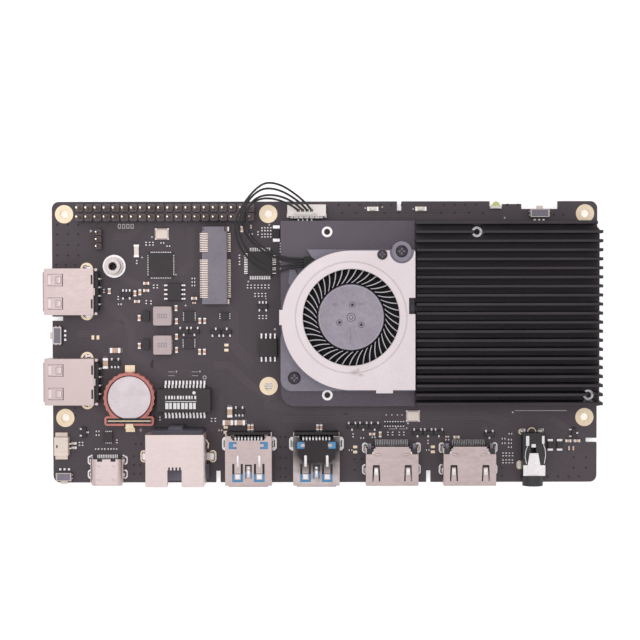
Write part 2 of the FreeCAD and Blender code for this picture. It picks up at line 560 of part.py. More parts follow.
def coin_holder():
    """A scalloped ring on a straight foot, with the cell between a lower and an upper contact."""
    x, y = COIN_AT
    outer_r, inner_r, scallops = 7.35, COIN_R + 0.15, 26
    points = []
    for k in range(scallops * 4):
        a = 2 * math.pi * k / (scallops * 4)
        r = outer_r - 0.14 * (1 - math.cos(a * scallops))
        points.append((x + r * math.cos(a), y + r * math.sin(a)))
    body = prism(points, TOP, 3.4)
    foot = rounded(x - 7.0, x + 7.0, y - 7.9, y - 5.2, TOP, TOP + 3.4, 0.8)
    body = body.fuse(foot).cut(rod(x, y, TOP + 0.5, inner_r, 5))
    slot = block(x - 6.3, x + 6.3, y - 7.1, y - 5.9, TOP + 0.5, TOP + 6)
    mouth = block(x - 1.4, x + 1.4, y - 9, y - 7, TOP + 0.4, TOP + 6)
    top_gap = block(x - 1.3, x + 1.3, y + 5, y + 9, TOP + 0.5, TOP + 1.4)
    add("coin_cell_holder", joined([body.cut(Part.makeCompound([slot, mouth, top_gap]))]))
    can = rod(x, y, TOP + 0.9, COIN_R, COIN_THICK)
    rim = [e for e in can.Edges if e.isClosed() and e.BoundBox.ZMax > TOP + 0.9 + COIN_THICK - 0.01]
    add("coin_cell", can.makeFillet(0.3, rim))
    lower = joined([block(x - 1.2, x + 1.2, y - 4.0, y + 6.2, TOP + 0.6, TOP + 0.9),
                    block(x - 1.2, x + 1.2, y + 6.2, y + 7.9, TOP + 0.6, TOP + 0.9),
                    block(x - 1.4, x + 1.4, y + 7.3, y + 9.15, TOP, TOP + 0.6)])
    bar = block(x - 6.1, x + 6.1, y - 6.75, y - 6.4, TOP + 1.2, TOP + 3.0)
    upper = joined([bar, block(x - 1.1, x + 1.1, y - 8.4, y - 6.75, TOP + 2.2, TOP + 2.5),
                    block(x - 1.3, x + 1.3, y - 8.7, y - 8.4, TOP, TOP + 2.5),
                    block(x - 1.3, x + 1.3, y - 9.9, y - 8.7, TOP, TOP + 0.3)])
    add("coin_cell_contacts", lower)
    add("coin_cell_contacts", upper)


# ---- chips and small parts ----------------------------------------------------------------------
def gull_lead(width, height, reach):
    """One bent lead: starts at y = 0 on the body's side at this height, and runs to +Y."""
    t = 0.2
    bend = reach * 0.42
    outline = [(0, height), (bend, height), (bend + 0.12, t), (reach, t), (reach, 0),
               (bend - t * 0.6, 0), (bend - t, height - t), (0, height - t)]
    return side_prism(outline, -width / 2, width)


def leaded_chip(x, y, size_x, size_y, tall, rows, pitch, lead, turn=0):
    """rows gives the leads on the +Y and -Y sides as lists of steps from the middle."""
    body = centred(0, 0, 0.12, size_x, size_y, tall)
    upper = [e for e in body.Edges if e.BoundBox.ZMin > 0.1 + tall * 0.99]
    add("chips", turned(body.makeChamfer(min(0.12, tall * 0.2), upper), turn, x, y, TOP))
    width, reach = lead
    for side, steps in zip((1, -1), rows):
        for step in steps:
            part = turned(gull_lead(width, tall * 0.55, reach), 0 if side > 0 else 180,
                          step * pitch, side * size_y / 2, 0)
            add("chip_leads", turned(Part.makeCompound([part]), turn, x, y, TOP))


def flat_chip(x, y, size_x, size_y, tall, count_x, count_y, pitch, turn=0):
    """A leadless chip with a row of pads along each side."""
    add("chips", turned(centred(0, 0, 0.06, size_x, size_y, tall), turn, x, y, TOP))
    pads = []
    for side in (-1, 1):
        for k in range(count_x):
            step = (k - (count_x - 1) / 2) * pitch
            pads.append(centred(step, side * (size_y / 2 + 0.14), 0, pitch * 0.5, 0.28, 0.2))
        for k in range(count_y):
            step = (k - (count_y - 1) / 2) * pitch
            pads.append(centred(side * (size_x / 2 + 0.14), step, 0, 0.28, pitch * 0.5, 0.2))
    if pads:
        add("chip_leads", turned(Part.makeCompound(pads), turn, x, y, TOP))


def steps(count):
    return [k - (count - 1) / 2 for k in range(count)]


def chips():
    sot, sot5 = ([-1, 1], [0]), ([-1, 1], [-1, 0, 1])
    small_lead = (0.42, 0.62)
    three_legs = [(-40.15, -4.35, 0), (-37.1, -4.35, 0), (-31.0, -4.6, 180), (-27.9, -4.6, 180),
                  (-68.6, -33.1, 90), (70.95, -33.5, 90), (46.9, -33.9, 0)]
    three_legs += [(x, -31.5, 0) for x in (7.75, 10.95, 14.2)]
    three_legs += [(x, -33.4, 0) for x in (26.4, 29.45, 32.5)]
    for x, y, turn in three_legs:
        leaded_chip(x, y, 2.9, 1.3, 0.95, sot, 0.95, small_lead, turn)
    for x, y, turn in ((-56.4, 6.2, 180), (-59.7, -13.35, 0), (-24.4, -27.2, 0), (-17.6, 2.75, 180)):
        leaded_chip(x, y, 2.9, 1.6, 1.0, sot5, 0.95, small_lead, turn)
    leaded_chip(-42.65, 6.85, 4.9, 3.9, 1.5, (steps(4), steps(4)), 1.27, (0.42, 1.05), 90)
    leaded_chip(-16.1, -9.0, 5.2, 5.2, 1.8, (steps(4), steps(4)), 1.27, (0.44, 1.4), 0)
    # the square bus chip under the wires has leads on all four sides
    leaded_chip(-18.35, 14.9, 7.0, 7.0, 1.3, (steps(12), steps(12)), 0.5, (0.24, 1.0), 0)
    for k in steps(12):
        for turn in (90, -90):
            part = turned(gull_lead(0.24, 0.7, 1.0), turn, -18.35 - math.copysign(3.5, turn), 14.9 + k * 0.5, TOP)
            add("chip_leads", part)
    flat_chip(-46.55, 14.5, 7.0, 7.0, 0.85, 12, 12, 0.5)
    flat_chip(-38.5, -0.1, 3.0, 3.0, 0.8, 0, 6, 0.42)
    flat_chip(-38.65, -7.75, 3.0, 3.0, 0.8, 0, 6, 0.42)
    flat_chip(-50.75, 0.05, 1.9, 2.9, 0.9, 0, 0, 0.5)
    flat_chip(-50.75, -8.0, 1.9, 2.9, 0.9, 0, 0, 0.5)
    flat_chip(-61.7, -34.5, 2.5, 3.0, 0.8, 4, 0, 0.5)
    flat_chip(-28.4, -0.05, 2.5, 2.0, 0.8, 0, 3, 0.6)
    for x in (18.25, 21.25):
        flat_chip(x, -30.85, 2.5, 1.0, 0.5, 4, 0, 0.75)
    # power diodes: black bodies whose ends are plated
    for x, y, long, wide in ((-13.7, 23.4, 4.6, 1.9), (64.2, -36.85, 3.3, 1.5), (66.85, -36.85, 3.3, 1.5)):
        add("chips", centred(x, y, TOP + 0.05, wide, long * 0.62, 1.2))
        for side in (-1, 1):
            add("chip_leads", centred(x, y + side * long * 0.405, TOP, wide, long * 0.19, 0.85))


CAPACITOR_SIZES = {"tiny": (1.0, 0.5, 0.5), "small": (1.65, 0.85, 0.85), "large": (3.0, 1.5, 1.4)}
UPRIGHT, LEVEL = 90, 0
CAPACITORS = [
    ("small", UPRIGHT, [(-23.45, 24.7), (15.75, -33.8), (-42.25, 2.3), (-42.15, -1.45), (-42.15, -5.85), (-42.15, -9.6), (-52.75, -0.5),
                        (-52.75, -8.45), (-35.5, -1.35), (-34.1, -1.35), (-35.6, -10.15), (-34.25, -10.15),
                        (-53.9, 6.5), (-52.5, 6.8), (-21.65, -31.75), (-20.7, -31.75), (-2.1, -31.75),
                        (-1.1, -31.75), (-61.2, 7.15)]),
    ("small", LEVEL, [(-53.35, 4.2), (-50.7, 9.35), (-50.7, 7.3), (-37.1, 5.05), (69.35, -35.7), (71.85, -35.7),
                      (37.5, -34.6), (13.45, -33.7)]),
    ("large", UPRIGHT, [(-62.35, -13.4), (-27.05, -27.35)]),
    ("large", LEVEL, [(-59.55, -9.7), (-27.6, -30.35), (-24.2, -30.35)]),
    ("tiny", UPRIGHT, [(69.6, -37.85), (70.8, -37.85), (-20.9, 25.4)]),
    ("tiny", LEVEL, [(-37.1, 3.75), (-20.9, 23.3), (34.9, -34.5)]),
]
RESISTORS = [
    (UPRIGHT, [(x, 20.6) for x in (-50.7, -49.7, -48.75)] + [(-53.4, 15.4)]
     + [(x, y) for x in (-17.78, -16.95, -16.13, -15.3) for y in (24.65, 22.85)]
     + [(-62.8, 7.2), (-58.7, 5.2), (-48.6, 8.45), (-47.6, 8.45), (-50.75, 4.0), (-49.4, 3.9)]
     + [(x, 8.4) for x in (-21.9, -20.9, -19.9, -18.9, -17.9, -16.9, -15.9)]
     + [(x, 6.0) for x in (-19.8, -18.8, -17.8, -16.8)] + [(x, -0.3) for x in (-18.6, -17.6, -16.6)]
     + [(x, -29.6) for x in (-32.3, -31.25)] + [(x, -33.6) for x in (18.0, 19.3, 21.2, 22.5)]
     + [(x, -36.4) for x in (-70.0, -69.1)] + [(-59.3, -35.7), (-24.2, 16.9), (-24.2, 15.1), (-12.5, 18.6),
                                               (-12.5, 15.8), (-12.5, 13.9), (-18.9, 23.5), (-12.5, 20.2)]
     + [(x, -39.6) for x in (50.8, 51.7, 52.6, 53.5)] + [(x, -41.6) for x in (50.8, 51.7, 52.6, 53.5)]
     + [(8.05, -34.1), (-47.0, -29.2), (29.4, -36.0)]),
    (LEVEL, [(-37.3, 10.7), (-37.3, 9.7), (-37.3, 8.7), (-46.1, 20.8), (-44.4, 19.9), (50.95, -35.1), (50.95, -36.4), (52.8, -35.4), (52.8, -36.4),
             (52.8, -37.5), (52.9, -33.7), (10.65, -34.85), (13.9, -34.65), (-29.8, -32.6), (7.3, -38.3),
             (29.3, -38.3), (-64.8, -32.8), (-64.8, -33.9), (34.9, -35.4)]
     + [(x, -37.9) for x in (-65.0, -63.2, -61.4, -59.8)] + [(-58.3, 3.4)]),
]
TWO_PADS = [(-65.3, -6.05, LEVEL), (-28.0, -9.0, UPRIGHT), (-28.3, -32.45, UPRIGHT), (8.65, -38.15, UPRIGHT),
            (30.8, -38.15, UPRIGHT)]


def small_parts():
    for kind, turn, places in CAPACITORS:
        long, wide, tall = CAPACITOR_SIZES[kind]
        for x, y in places:
            add("chip_capacitors", turned(centred(0, 0, 0, long, wide, tall), turn, x, y, TOP))
    for turn, places in RESISTORS:
        for x, y in places:
            add("chip_resistors", turned(centred(0, 0, 0, 1.0, 0.5, 0.35), turn, x, y, TOP))
    # the decoupling capacitors on the underside, below the processor
    for k in range(6):
        for n in range(5):
            add("chip_capacitors", centred(22.5 + k * 3.0, -4.0 + n * 3.0, -0.5, 1.0, 0.5, 0.5))
    for x, y, turn in TWO_PADS:
        for side in (-1, 1):
            px, py = turned_point((side * 0.72, 0), turn, x, y)
            add("chip_leads", turned(centred(0, 0, 0, 0.75, 1.15, 0.06), turn, px, py, TOP))
    for x, y in ((-46.0, 0.1), (-46.0, -8.15)):
        add("power_inductors", rounded(x - 2.6, x + 2.6, y - 2.7, y + 2.7, TOP + 0.1, TOP + 2.9, 0.3))
    for x, y, wide, long in ((-46.2, 23.35, 4.0, 3.2), (25.1, -28.6, 4.0, 3.2), (-53.45, 18.55, 1.5, 3.6)):
        add("crystals", centred(x, y, TOP, wide, long, 0.8))
    add("status_leds", joined([centred(48.6, 30.9, TOP, 3.3, 1.1, 1.1), rod(48.6, 31.45, TOP + 0.5, 1.0, 1.0)
                               .common(block(46, 52, 31.4, 34, TOP, TOP + 1.1))]))
    for x in (13.7, 27.35):
        add("status_leds", centred(x, 30.35, TOP, 3.2, 1.2, 0.9))


def transformer():
    x, y = TRANSFORMER_AT
    body = rounded(x - 7.55, x + 7.55, y - 3.35, y + 3.35, TOP + 0.3, TOP + 5.3, 0.25)
    add("network_transformer", body)
    for side in (1, -1):
        for step in steps(12):
            lead = turned(gull_lead(0.5, 1.7, 2.0), 0 if side > 0 else 180, x + step, y + side * 3.35, TOP)
            add("chip_leads", lead)


def processor():
    add("processor", joined([centred(30, 2, TOP, 23, 23, 0.6), centred(30, 2, TOP + 0.6, 13, 13, 0.6)]))
    places = [(48, 9), (48, -7), (12, 9), (12, -7)]
    for x, y in places:
        add("memory_chips", centred(x, y, TOP + 0.1, 10, 14, 0.9))
        add("thermal_pads", centred(x, y, TOP + 1.0, 9.5, 13.5, SINK_LOW - 1.0))
    add("thermal_pads", centred(30, 2, TOP + 1.2, 13, 13, SINK_LOW - 1.2))


# ---- cooling ------------------------------------------------------------------------------------
def heatsink():
    x0, x1 = SINK_X
    y0, y1 = SINK_Y
    low, base, top = TOP + SINK_LOW, TOP + SINK_BASE, TOP + SINK_TOP
    slab = [(x0, y1), (x0, y0 + 4.0)]
    slab += [(x0 + 4.0 - 4.0 * math.cos(a), y0 + 4.0 - 4.0 * math.sin(a))
             for a in (math.pi / 2 * k / 8 for k in range(1, 9))]
    slab += [(x1, y0), (x1, y1 - 2.6), (x1 - 1.2, y1 - 1.2), (x1 - 1.2, y1)]
    plate = prism(slab, low, base - low)
    posts = [rod(x, y, TOP, 2.6, SINK_LOW) for x, y in SINK_SCREWS]
    fins = []
    for k in range(FIN_COUNT):
        y = FIN_FIRST_Y - k * FIN_PITCH
        end = FIN_X[1] - (1.5 if k == 0 else 0.0)
        half = FIN_THICK / 2
        outline = [(y - half - 0.12, base - 0.2), (y - half, top - 0.15), (y - half + 0.15, top),
                   (y + half - 0.15, top), (y + half, top - 0.15), (y + half + 0.12, base - 0.2)]
        fins.append(side_prism(outline, FIN_X[0], end - FIN_X[0]))
    sink = plate.fuse(posts + fins)
    cuts = [rod(x, y, TOP - 1, 1.5, 20) for x, y in SINK_SCREWS]
    for x, y in (CORNER_SCREW, EAR_BOSS):
        cuts.append(rod(x, y, base - 2.4, 0.8, 3))
    add("heatsink", joined([sink.cut(Part.makeCompound(cuts))]))
    for x, y in SINK_SCREWS:
        add("heatsink_bushes", ring(x, y, TOP, 1.5, 0.85, SINK_BASE + 0.35))
        shank = rod(x, y, -0.1, 0.8, TOP + SINK_BASE - 0.6)
        head = rod(x, y, -SCREW_HEAD, 1.9, SCREW_HEAD)
        cross = [centred(x, y, -SCREW_HEAD - 0.1, a, b, 0.6) for a, b in ((2.0, 0.45), (0.45, 2.0))]
        add("heatsink_screws", joined([head.cut(Part.makeCompound(cross)), shank]))
        hole(x, y, 1.1)


def scroll_outline(grow=0.0):
    """The blower's D shape: straight top, right and bottom, with a round left side."""
    cx, cy = SCROLL_AT
    r = SCROLL_R + grow
    right = FAN_X[1] - 0.15
    arc = Part.Arc(V(cx, cy + r, 0), V(cx - r, cy, 0), V(cx, cy - r, 0)).toShape()
    corners = [V(cx, cy - r, 0), V(right, cy - r, 0), V(right, cy + r, 0), V(cx, cy + r, 0)]
    lines = [Part.LineSegment(a, b).toShape() for a, b in zip(corners, corners[1:])]
    return Part.Wire([arc] + lines)


def fan_housing():
    base, top = TOP + SINK_BASE, TOP + FAN_TOP - COVER
    floor = 0.8
    x0, x1 = FAN_X
    y0, y1 = FAN_Y
    sheet = scroll_outline(0.25)
    plate = Part.Face(sheet).extrude(V(0, 0, floor))
    plate.translate(V(0, 0, base))
    corner = rounded(x0, 7.0, y0, -3.0, base, TOP + 8.6, 3.2)
    shelf = prism([(-10.2, 9.4), (-9.8, 13.2), (-8.3, 13.2), (-6.0, 8.0), (-9.0, 8.0)], base, 2.6)
    upper = prism([(-4.9, y1), (-3.6, 16.6), (0.0, 14.0), (6.0, 14.0), (6.0, y1)], base, 5.2)
    scroll = Part.Face(scroll_outline(0.25)).extrude(V(0, 0, top - base - floor))
    scroll.translate(V(0, 0, base + floor))
    inside = Part.Face(scroll_outline(-0.9)).extrude(V(0, 0, 20))
    inside.translate(V(0, 0, base + floor))
    mouth = block(x1 - 3, x1 + 3, y0 + 1.6, 13.6, base + floor, 30)
    tongue = prism([(13.2, 17.6), (16.4, 14.6), (20.0, 13.4), (x1 - 0.15, 13.4), (x1 - 0.15, 18.4)],
                   base + floor, top - base - floor)
    boss = rod(*EAR_BOSS, base, 2.75, TOP + FAN_TOP - base)
    extra = rod(*COVER_SCREW, base, 1.5, top - base)
    rotor_room = rod(*FAN_AT, base + floor, BLADE_TIP_R + 0.7, 20)
    hub_tube = ring(*FAN_AT, base + floor, 2.2, 1.7, 4.3)
    walls = corner.fuse([shelf, upper]).cut(inside)
    body = plate.fuse([walls, scroll.cut(inside).cut(mouth), tongue.cut(rotor_room), boss, extra, hub_tube])
    cuts = [rod(*SINK_SCREWS[1], base - 1, 1.65, 20), rod(*EAR_BOSS, base - 1, 0.85, 20),
            rod(*CORNER_SCREW, base - 1, 0.85, 20),
            rod(*COVER_SCREW, base + 3, 0.7, 20), rod(*EAR_BOSS, TOP + FAN_TOP - 0.9, 1.65, 2),
            rod(*CORNER_SCREW, TOP + 8.0, 1.75, 2)]
    for x, y in ((-10.8, -14.1), (-5.5, -18.9)):
        cuts.append(rod(x, y, TOP + 8.5, 1.3, 1))
    add("fan_housing", joined([body.cut(Part.makeCompound(cuts))]))


def fan_cover():
    low = TOP + FAN_TOP - COVER
    cover = Part.Face(scroll_outline(0.0)).extrude(V(0, 0, COVER))
    cover.translate(V(0, 0, low))
    tabs = [block(-12.65, -11.2, -2.2, 2.0, low, low + COVER), block(-12.65, -12.35, -2.2, 2.0, low - 2.2, low + COVER),
            block(14.2, 18.9, -21.2, -20.2, low, low + COVER), block(14.2, 18.9, -21.2, -20.9, low - 2.2, low + COVER)]
    cover = cover.fuse(tabs)
    cuts = [rod(*FAN_AT, low - 1, INTAKE_R, 3), rod(*EAR_BOSS, low - 1, 3.35, 3),
            rod(*COVER_SCREW, low - 1, 0.95, 3), block(23.35, 27, 0.8, 5.3, low - 1, low + 2),
            block(EAR_BOSS[0] - 3.1, EAR_BOSS[0] + 4.2, EAR_BOSS[1], 20, low - 1, low + 2)]
    groove = ring(*FAN_AT, low + COVER - 0.08, 15.6, 15.3, 1)
    add("fan_cover", joined([cover.cut(Part.makeCompound(cuts + [groove]))]))


def swept_blade(k):
    """One thin blade: swept where the air enters, then running straight out to the tip circle."""
    cx, cy = FAN_AT
    base_angle = 2 * math.pi * k / BLADES
    def point(radius, degrees, side):
        a = base_angle + math.radians(degrees) + side * BLADE_THICK / 2 / radius
        return V(cx + radius * math.cos(a), cy + radius * math.sin(a), 0)
    near = [point(r, degrees, -1) for r, degrees in BLADE_SWEEP]
    far = [point(r, degrees, 1) for r, degrees in BLADE_SWEEP]
    edges = [Part.Arc(*near[:3]).toShape(), Part.LineSegment(near[2], near[3]).toShape(),
             Part.LineSegment(near[3], far[3]).toShape(), Part.LineSegment(far[3], far[2]).toShape(),
             Part.Arc(far[2], far[1], far[0]).toShape(), Part.LineSegment(far[0], near[0]).toShape()]
    blade = Part.Face(Part.Wire(edges)).extrude(V(0, 0, 4.9))
    blade.translate(V(0, 0, TOP + 6.5))
    return blade


def fan_rotor():
    cx, cy = FAN_AT
    cap_low, cap_top = TOP + 10.6, TOP + 11.5
    cup = rod(cx, cy, TOP + 6.5, HUB_R, cap_top - TOP - 6.5)
    rim = [e for e in cup.Edges if e.isClosed() and e.BoundBox.ZMin > cap_top - 0.01]
    cup = cup.makeFillet(0.5, rim).cut(rod(cx, cy, TOP + 6, 8.2, cap_low - TOP - 6))
    dimples = [rod(cx, cy, cap_top - 0.3, 1.0, 1)]
    for k in range(3):
        a = math.radians(84 + 120 * k)
        dimples.append(rod(cx + 3.5 * math.cos(a), cy + 3.5 * math.sin(a), cap_top - 0.35, 0.38, 1))
    cup = cup.cut(Part.makeCompound(dimples)).cut(rod(cx, cy, TOP + 6, SHAFT_R, cap_top - 0.5 - TOP - 6))
    ring_low = ring(cx, cy, TOP + 6.1, BLADE_TIP_R, HUB_R - 0.9, 0.45)
    blades = [swept_blade(k) for k in range(BLADES)]
    add("fan_impeller", joined([cup, ring_low] + blades))
    add("fan_rotor_magnet", ring(cx, cy, TOP + 6.6, 8.2, 7.2, 3.6))
    add("fan_shaft", rod(cx, cy, TOP + 6.2, SHAFT_R, cap_top - 0.5 - TOP - 6.2))
    add("fan_bearing", ring(cx, cy, TOP + 5.9, 1.7, SHAFT_R + SHAFT_GAP, 4.1))
    core = ring(cx, cy, TOP + 6.9, 3.6, 2.25, 2.4)
    poles = []
    for k in range(4):
        arm = block(3.2, 6.2, -0.9, 0.9, 0, 2.4).fuse(block(5.7, 6.7, -2.6, 2.6, 0, 2.4))
        coil = block(3.9, 5.5, -1.9, 1.9, -0.3, 2.7)
        poles.append(turned(joined([arm, coil]), 45 + 90 * k, cx, cy, TOP + 6.9))
    legs = [centred(cx + s * 2.9, cy, TOP + 5.8, 0.9, 0.9, 1.2) for s in (-1, 1)]
    add("fan_stator", joined([core] + poles + legs))


def cross_screw(x, y, head_low, head_r, head_tall, shank_r, shank_low):
    head = rod(x, y, head_low, head_r, head_tall)
    rim = [e for e in head.Edges if e.isClosed() and e.BoundBox.ZMin > head_low + head_tall - 0.01]
    head = head.makeFillet(0.25, rim)
    wide = head_r * 1.25
    top = head_low + head_tall
    cross = [centred(x, y, top - 0.45, a, b, 1) for a, b in ((wide, wide * 0.26), (wide * 0.26, wide))]
    return joined([head.cut(Part.makeCompound(cross)), rod(x, y, shank_low, shank_r, head_low - shank_low + 0.1)])


def fan_fixings():
    base = TOP + SINK_BASE
    add("fan_screws", cross_screw(*CORNER_SCREW, TOP + 8.0, 1.65, 1.1, 0.75, base - 2.2))
    add("fan_screws", cross_screw(*EAR_BOSS, TOP + FAN_TOP - 0.9, 1.6, 1.1, 0.75, base - 2.2))
    add("fan_screws", cross_screw(*COVER_SCREW, TOP + FAN_TOP, 1.4, 0.7, 0.65, base + 3.5))
    seal = block(SEAL_X, 0.0, 13.3, 16.85, TOP + 8.2, TOP + 9.9)
    hollow = Part.Face(scroll_outline(0.25)).extrude(V(0, 0, 40))
    upper = prism([(-4.9, FAN_Y[1]), (-3.6, 16.6), (0.0, 14.0), (6.0, 14.0), (6.0, FAN_Y[1])], TOP, 20)
    add("fan_wire_seal", joined([seal.cut(hollow).cut(upper)]))


# ---- wires --------------------------------------------------------------------------------------
def wire_tube(node, route):
    """Straight runs joined by tangent arcs; each arc is as large as its two runs allow."""
    points = [V(*p) for p in route]
    edges, start, radii = [], points[0], []
    for before, corner, after in zip(points, points[1:], points[2:]):
        back, ahead = (before - corner), (after - corner)
        shorter = min(back.Length, ahead.Length)
        back.normalize()
        ahead.normalize()
        half_turn = (math.pi - back.getAngle(ahead)) / 2
        cut = 0.45 * shorter
        radius = cut / math.tan(half_turn)
        radii.append(radius)
        first, last = corner + back * cut, corner + ahead * cut
        middle = back + ahead
        middle.normalize()
        centre = corner + middle * (radius / math.cos(half_turn))
        apex = centre - middle * radius
        edges.append(Part.LineSegment(start, first).toShape())
        edges.append(Part.Arc(first, apex, last).toShape())
        start = last
    edges.append(Part.LineSegment(start, points[-1]).toShape())
    path = Part.Wire(edges)
    circle = Part.Circle(points[0], points[1] - points[0], WIRE_R).toShape()
    tube = path.makePipeShell([Part.Wire([circle])], True, False)
    expected = math.pi * WIRE_R ** 2 * path.Length
    print(f"{node}: length {path.Length:.1f} mm, radii {[round(r, 1) for r in radii]}, "
          f"volume {tube.Volume:.2f} against {expected:.2f}")
    add(node, tube)


# ---- the board itself ---------------------------------------------------------------------------
def board():
    outline = rounded(-HALF, HALF, BOARD_LOW_Y, BOARD_HIGH_Y, 0, TOP, BOARD_CORNER)
    cuts = [block(-80, -HALF + 3.0, -1.3, -0.1, -1, 3), block(20.6, 20.6 + SLOT, 29.9, 34, -1, 3),
            block(-31.05, -31.05 + SLOT, -50, -44.2, -1, 3), block(28.9, 28.9 + SLOT, -50, -44.2, -1, 3),
            block(74.4, 80, -36.2, -36.2 + SLOT, -1, 3), block(46.9, 50.5, 31.0, 34, -1, 3),
            block(50.4, 56.0, 31.7, 34, -1, 3), block(55.9, 66.3, 30.3, 34, -1, 3)]
    for x, y in OUTER_HOLES + INNER_HOLES:
        cuts.append(rod(x, y, -1, HOLE_R, 4))
    for x, y, radius, long_x, long_y in BOARD_HOLES:
        cuts.append(opened(x, y, long_x, long_y) if long_x else rod(x, y, -1, radius, 4))
    add("circuit_board", outline.cut(Part.makeCompound(cuts)))


def main():
    headers()
    usb_ports()
    hdmi_ports()
    usb_c_port()
    network_jack()
    audio_jack()
    m2_socket()
    fan_socket()
    power_header()
    buttons()
    coin_holder()
    chips()
    small_parts()
    transformer()
    processor()
    heatsink()
    fan_housing()
    fan_cover()
    fan_rotor()
    fan_fixings()
    for node, route in WIRE_ROUTES.items():
        wire_tube(node, route)
    board()
    os.makedirs("parts", exist_ok=True)
    for node, solids in PARTS.items():
        shape = solids[0] if len(solids) == 1 else Part.makeCompound(solids)
        bad = [s for s in solids if not s.isValid() or s.Volume <= 0]
        print(f"{node}: {len(solids)} solids, volume {shape.Volume:.1f}" + (f", {len(bad)} BAD" if bad else ""))
        shape.exportStep(f"parts/{node}.step")


main()
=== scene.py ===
import json
import math

import bmesh
import bpy
import numpy as np
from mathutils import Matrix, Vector


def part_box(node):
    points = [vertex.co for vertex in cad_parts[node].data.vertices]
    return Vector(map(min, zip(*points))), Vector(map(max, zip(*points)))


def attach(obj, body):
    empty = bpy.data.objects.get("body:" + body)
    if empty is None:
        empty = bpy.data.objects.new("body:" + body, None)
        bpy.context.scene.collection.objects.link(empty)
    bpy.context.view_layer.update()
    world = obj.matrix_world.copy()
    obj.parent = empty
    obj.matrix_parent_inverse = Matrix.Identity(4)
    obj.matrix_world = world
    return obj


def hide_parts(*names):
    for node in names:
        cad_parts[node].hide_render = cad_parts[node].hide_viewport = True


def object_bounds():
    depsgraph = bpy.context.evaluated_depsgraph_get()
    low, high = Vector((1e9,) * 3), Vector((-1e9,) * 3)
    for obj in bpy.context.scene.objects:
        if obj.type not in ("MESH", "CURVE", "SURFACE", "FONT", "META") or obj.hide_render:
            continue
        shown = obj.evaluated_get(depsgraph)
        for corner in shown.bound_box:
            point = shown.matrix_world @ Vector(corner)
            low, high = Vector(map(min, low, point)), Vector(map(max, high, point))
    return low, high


# Looks of a single board computer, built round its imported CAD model. Metres, +Z up.

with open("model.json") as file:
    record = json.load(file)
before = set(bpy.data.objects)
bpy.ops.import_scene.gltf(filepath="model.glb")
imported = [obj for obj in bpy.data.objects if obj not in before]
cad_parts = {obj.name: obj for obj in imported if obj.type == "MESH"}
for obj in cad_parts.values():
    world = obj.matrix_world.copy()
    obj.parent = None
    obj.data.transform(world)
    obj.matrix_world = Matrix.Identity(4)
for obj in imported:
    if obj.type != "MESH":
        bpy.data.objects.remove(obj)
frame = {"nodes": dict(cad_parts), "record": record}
NODES = frame["nodes"]
CAD_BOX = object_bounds()
MM = 0.001
BODY = {node: body for body, nodes in frame["record"]["behaviour"]["bodies"].items() for node in nodes}
SLOT = {part["node"]: part["material_slot"] for part in frame["record"]["subparts"]}
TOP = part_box("circuit_board")[1][2] / MM       # the board's component side, in mm like every size below
UNDER = -TOP                   # its underside, because a pile's heights are measured from its top
FLOOR = CAD_BOX[0][2]          # what the object stands on, in metres
FINS_START = 25.3              # where the heatsink's bare plate ends and its fins begin
WELD = 1.6e-5                  # twin corners of a CAD mesh are nearer than this, in metres


# ---- colours and materials -----------------------------------------------------------------------
def rgb(red, green, blue):
    """A colour as it looks on a screen, 0 to 255, turned into the linear values that a shader takes."""
    def linear(v):
        v /= 255.0
        return v / 12.92 if v <= 0.04045 else ((v + 0.055) / 1.055) ** 2.4
    return (linear(red), linear(green), linear(blue), 1.0)


def node(tree, kind, **values):
    made = tree.nodes.new("ShaderNode" + kind)
    for name, value in values.items():
        if hasattr(made, name):
            setattr(made, name, value)
        else:
            made.inputs[name.replace("_", " ").title()].default_value = value
    return made


def noise(tree, coords, scale, stretch=(1, 1, 1), detail=3.0):
    """Noise with a size in mm, stretched along the axes whose number is small."""
    mapping = node(tree, "Mapping")
    mapping.inputs["Scale"].default_value = [s / (scale * MM) for s in stretch]
    tree.links.new(coords, mapping.inputs["Vector"])
    made = node(tree, "TexNoise", Scale=1.0, Detail=detail, Roughness=0.55)
    tree.links.new(mapping.outputs["Vector"], made.inputs["Vector"])
    return made.outputs["Fac"]


def ramp(tree, value, low, high, start=0.3, end=0.7):
    made = node(tree, "MapRange")
    for name, number in (("From Min", start), ("From Max", end), ("To Min", low), ("To Max", high)):
        made.inputs[name].default_value = number
    tree.links.new(value, made.inputs["Value"])
    return made.outputs["Result"]


def feed(tree, value, socket):
    """Joins another node's output to a socket, or sets it to a plain value."""
    if isinstance(value, bpy.types.NodeSocket):
        tree.links.new(value, socket)
    else:
        socket.default_value = value


def calc(tree, operation, *values):
    made = node(tree, "Math", operation=operation)
    for value, socket in zip(values, made.inputs):
        feed(tree, value, socket)
    return made.outputs[0]


def blend_colours(tree, factor, first, second):
    made = node(tree, "Mix", data_type="RGBA")
    for value, number in ((factor, 0), (first, 6), (second, 7)):
        feed(tree, value, made.inputs[number])
    return made.outputs[2]


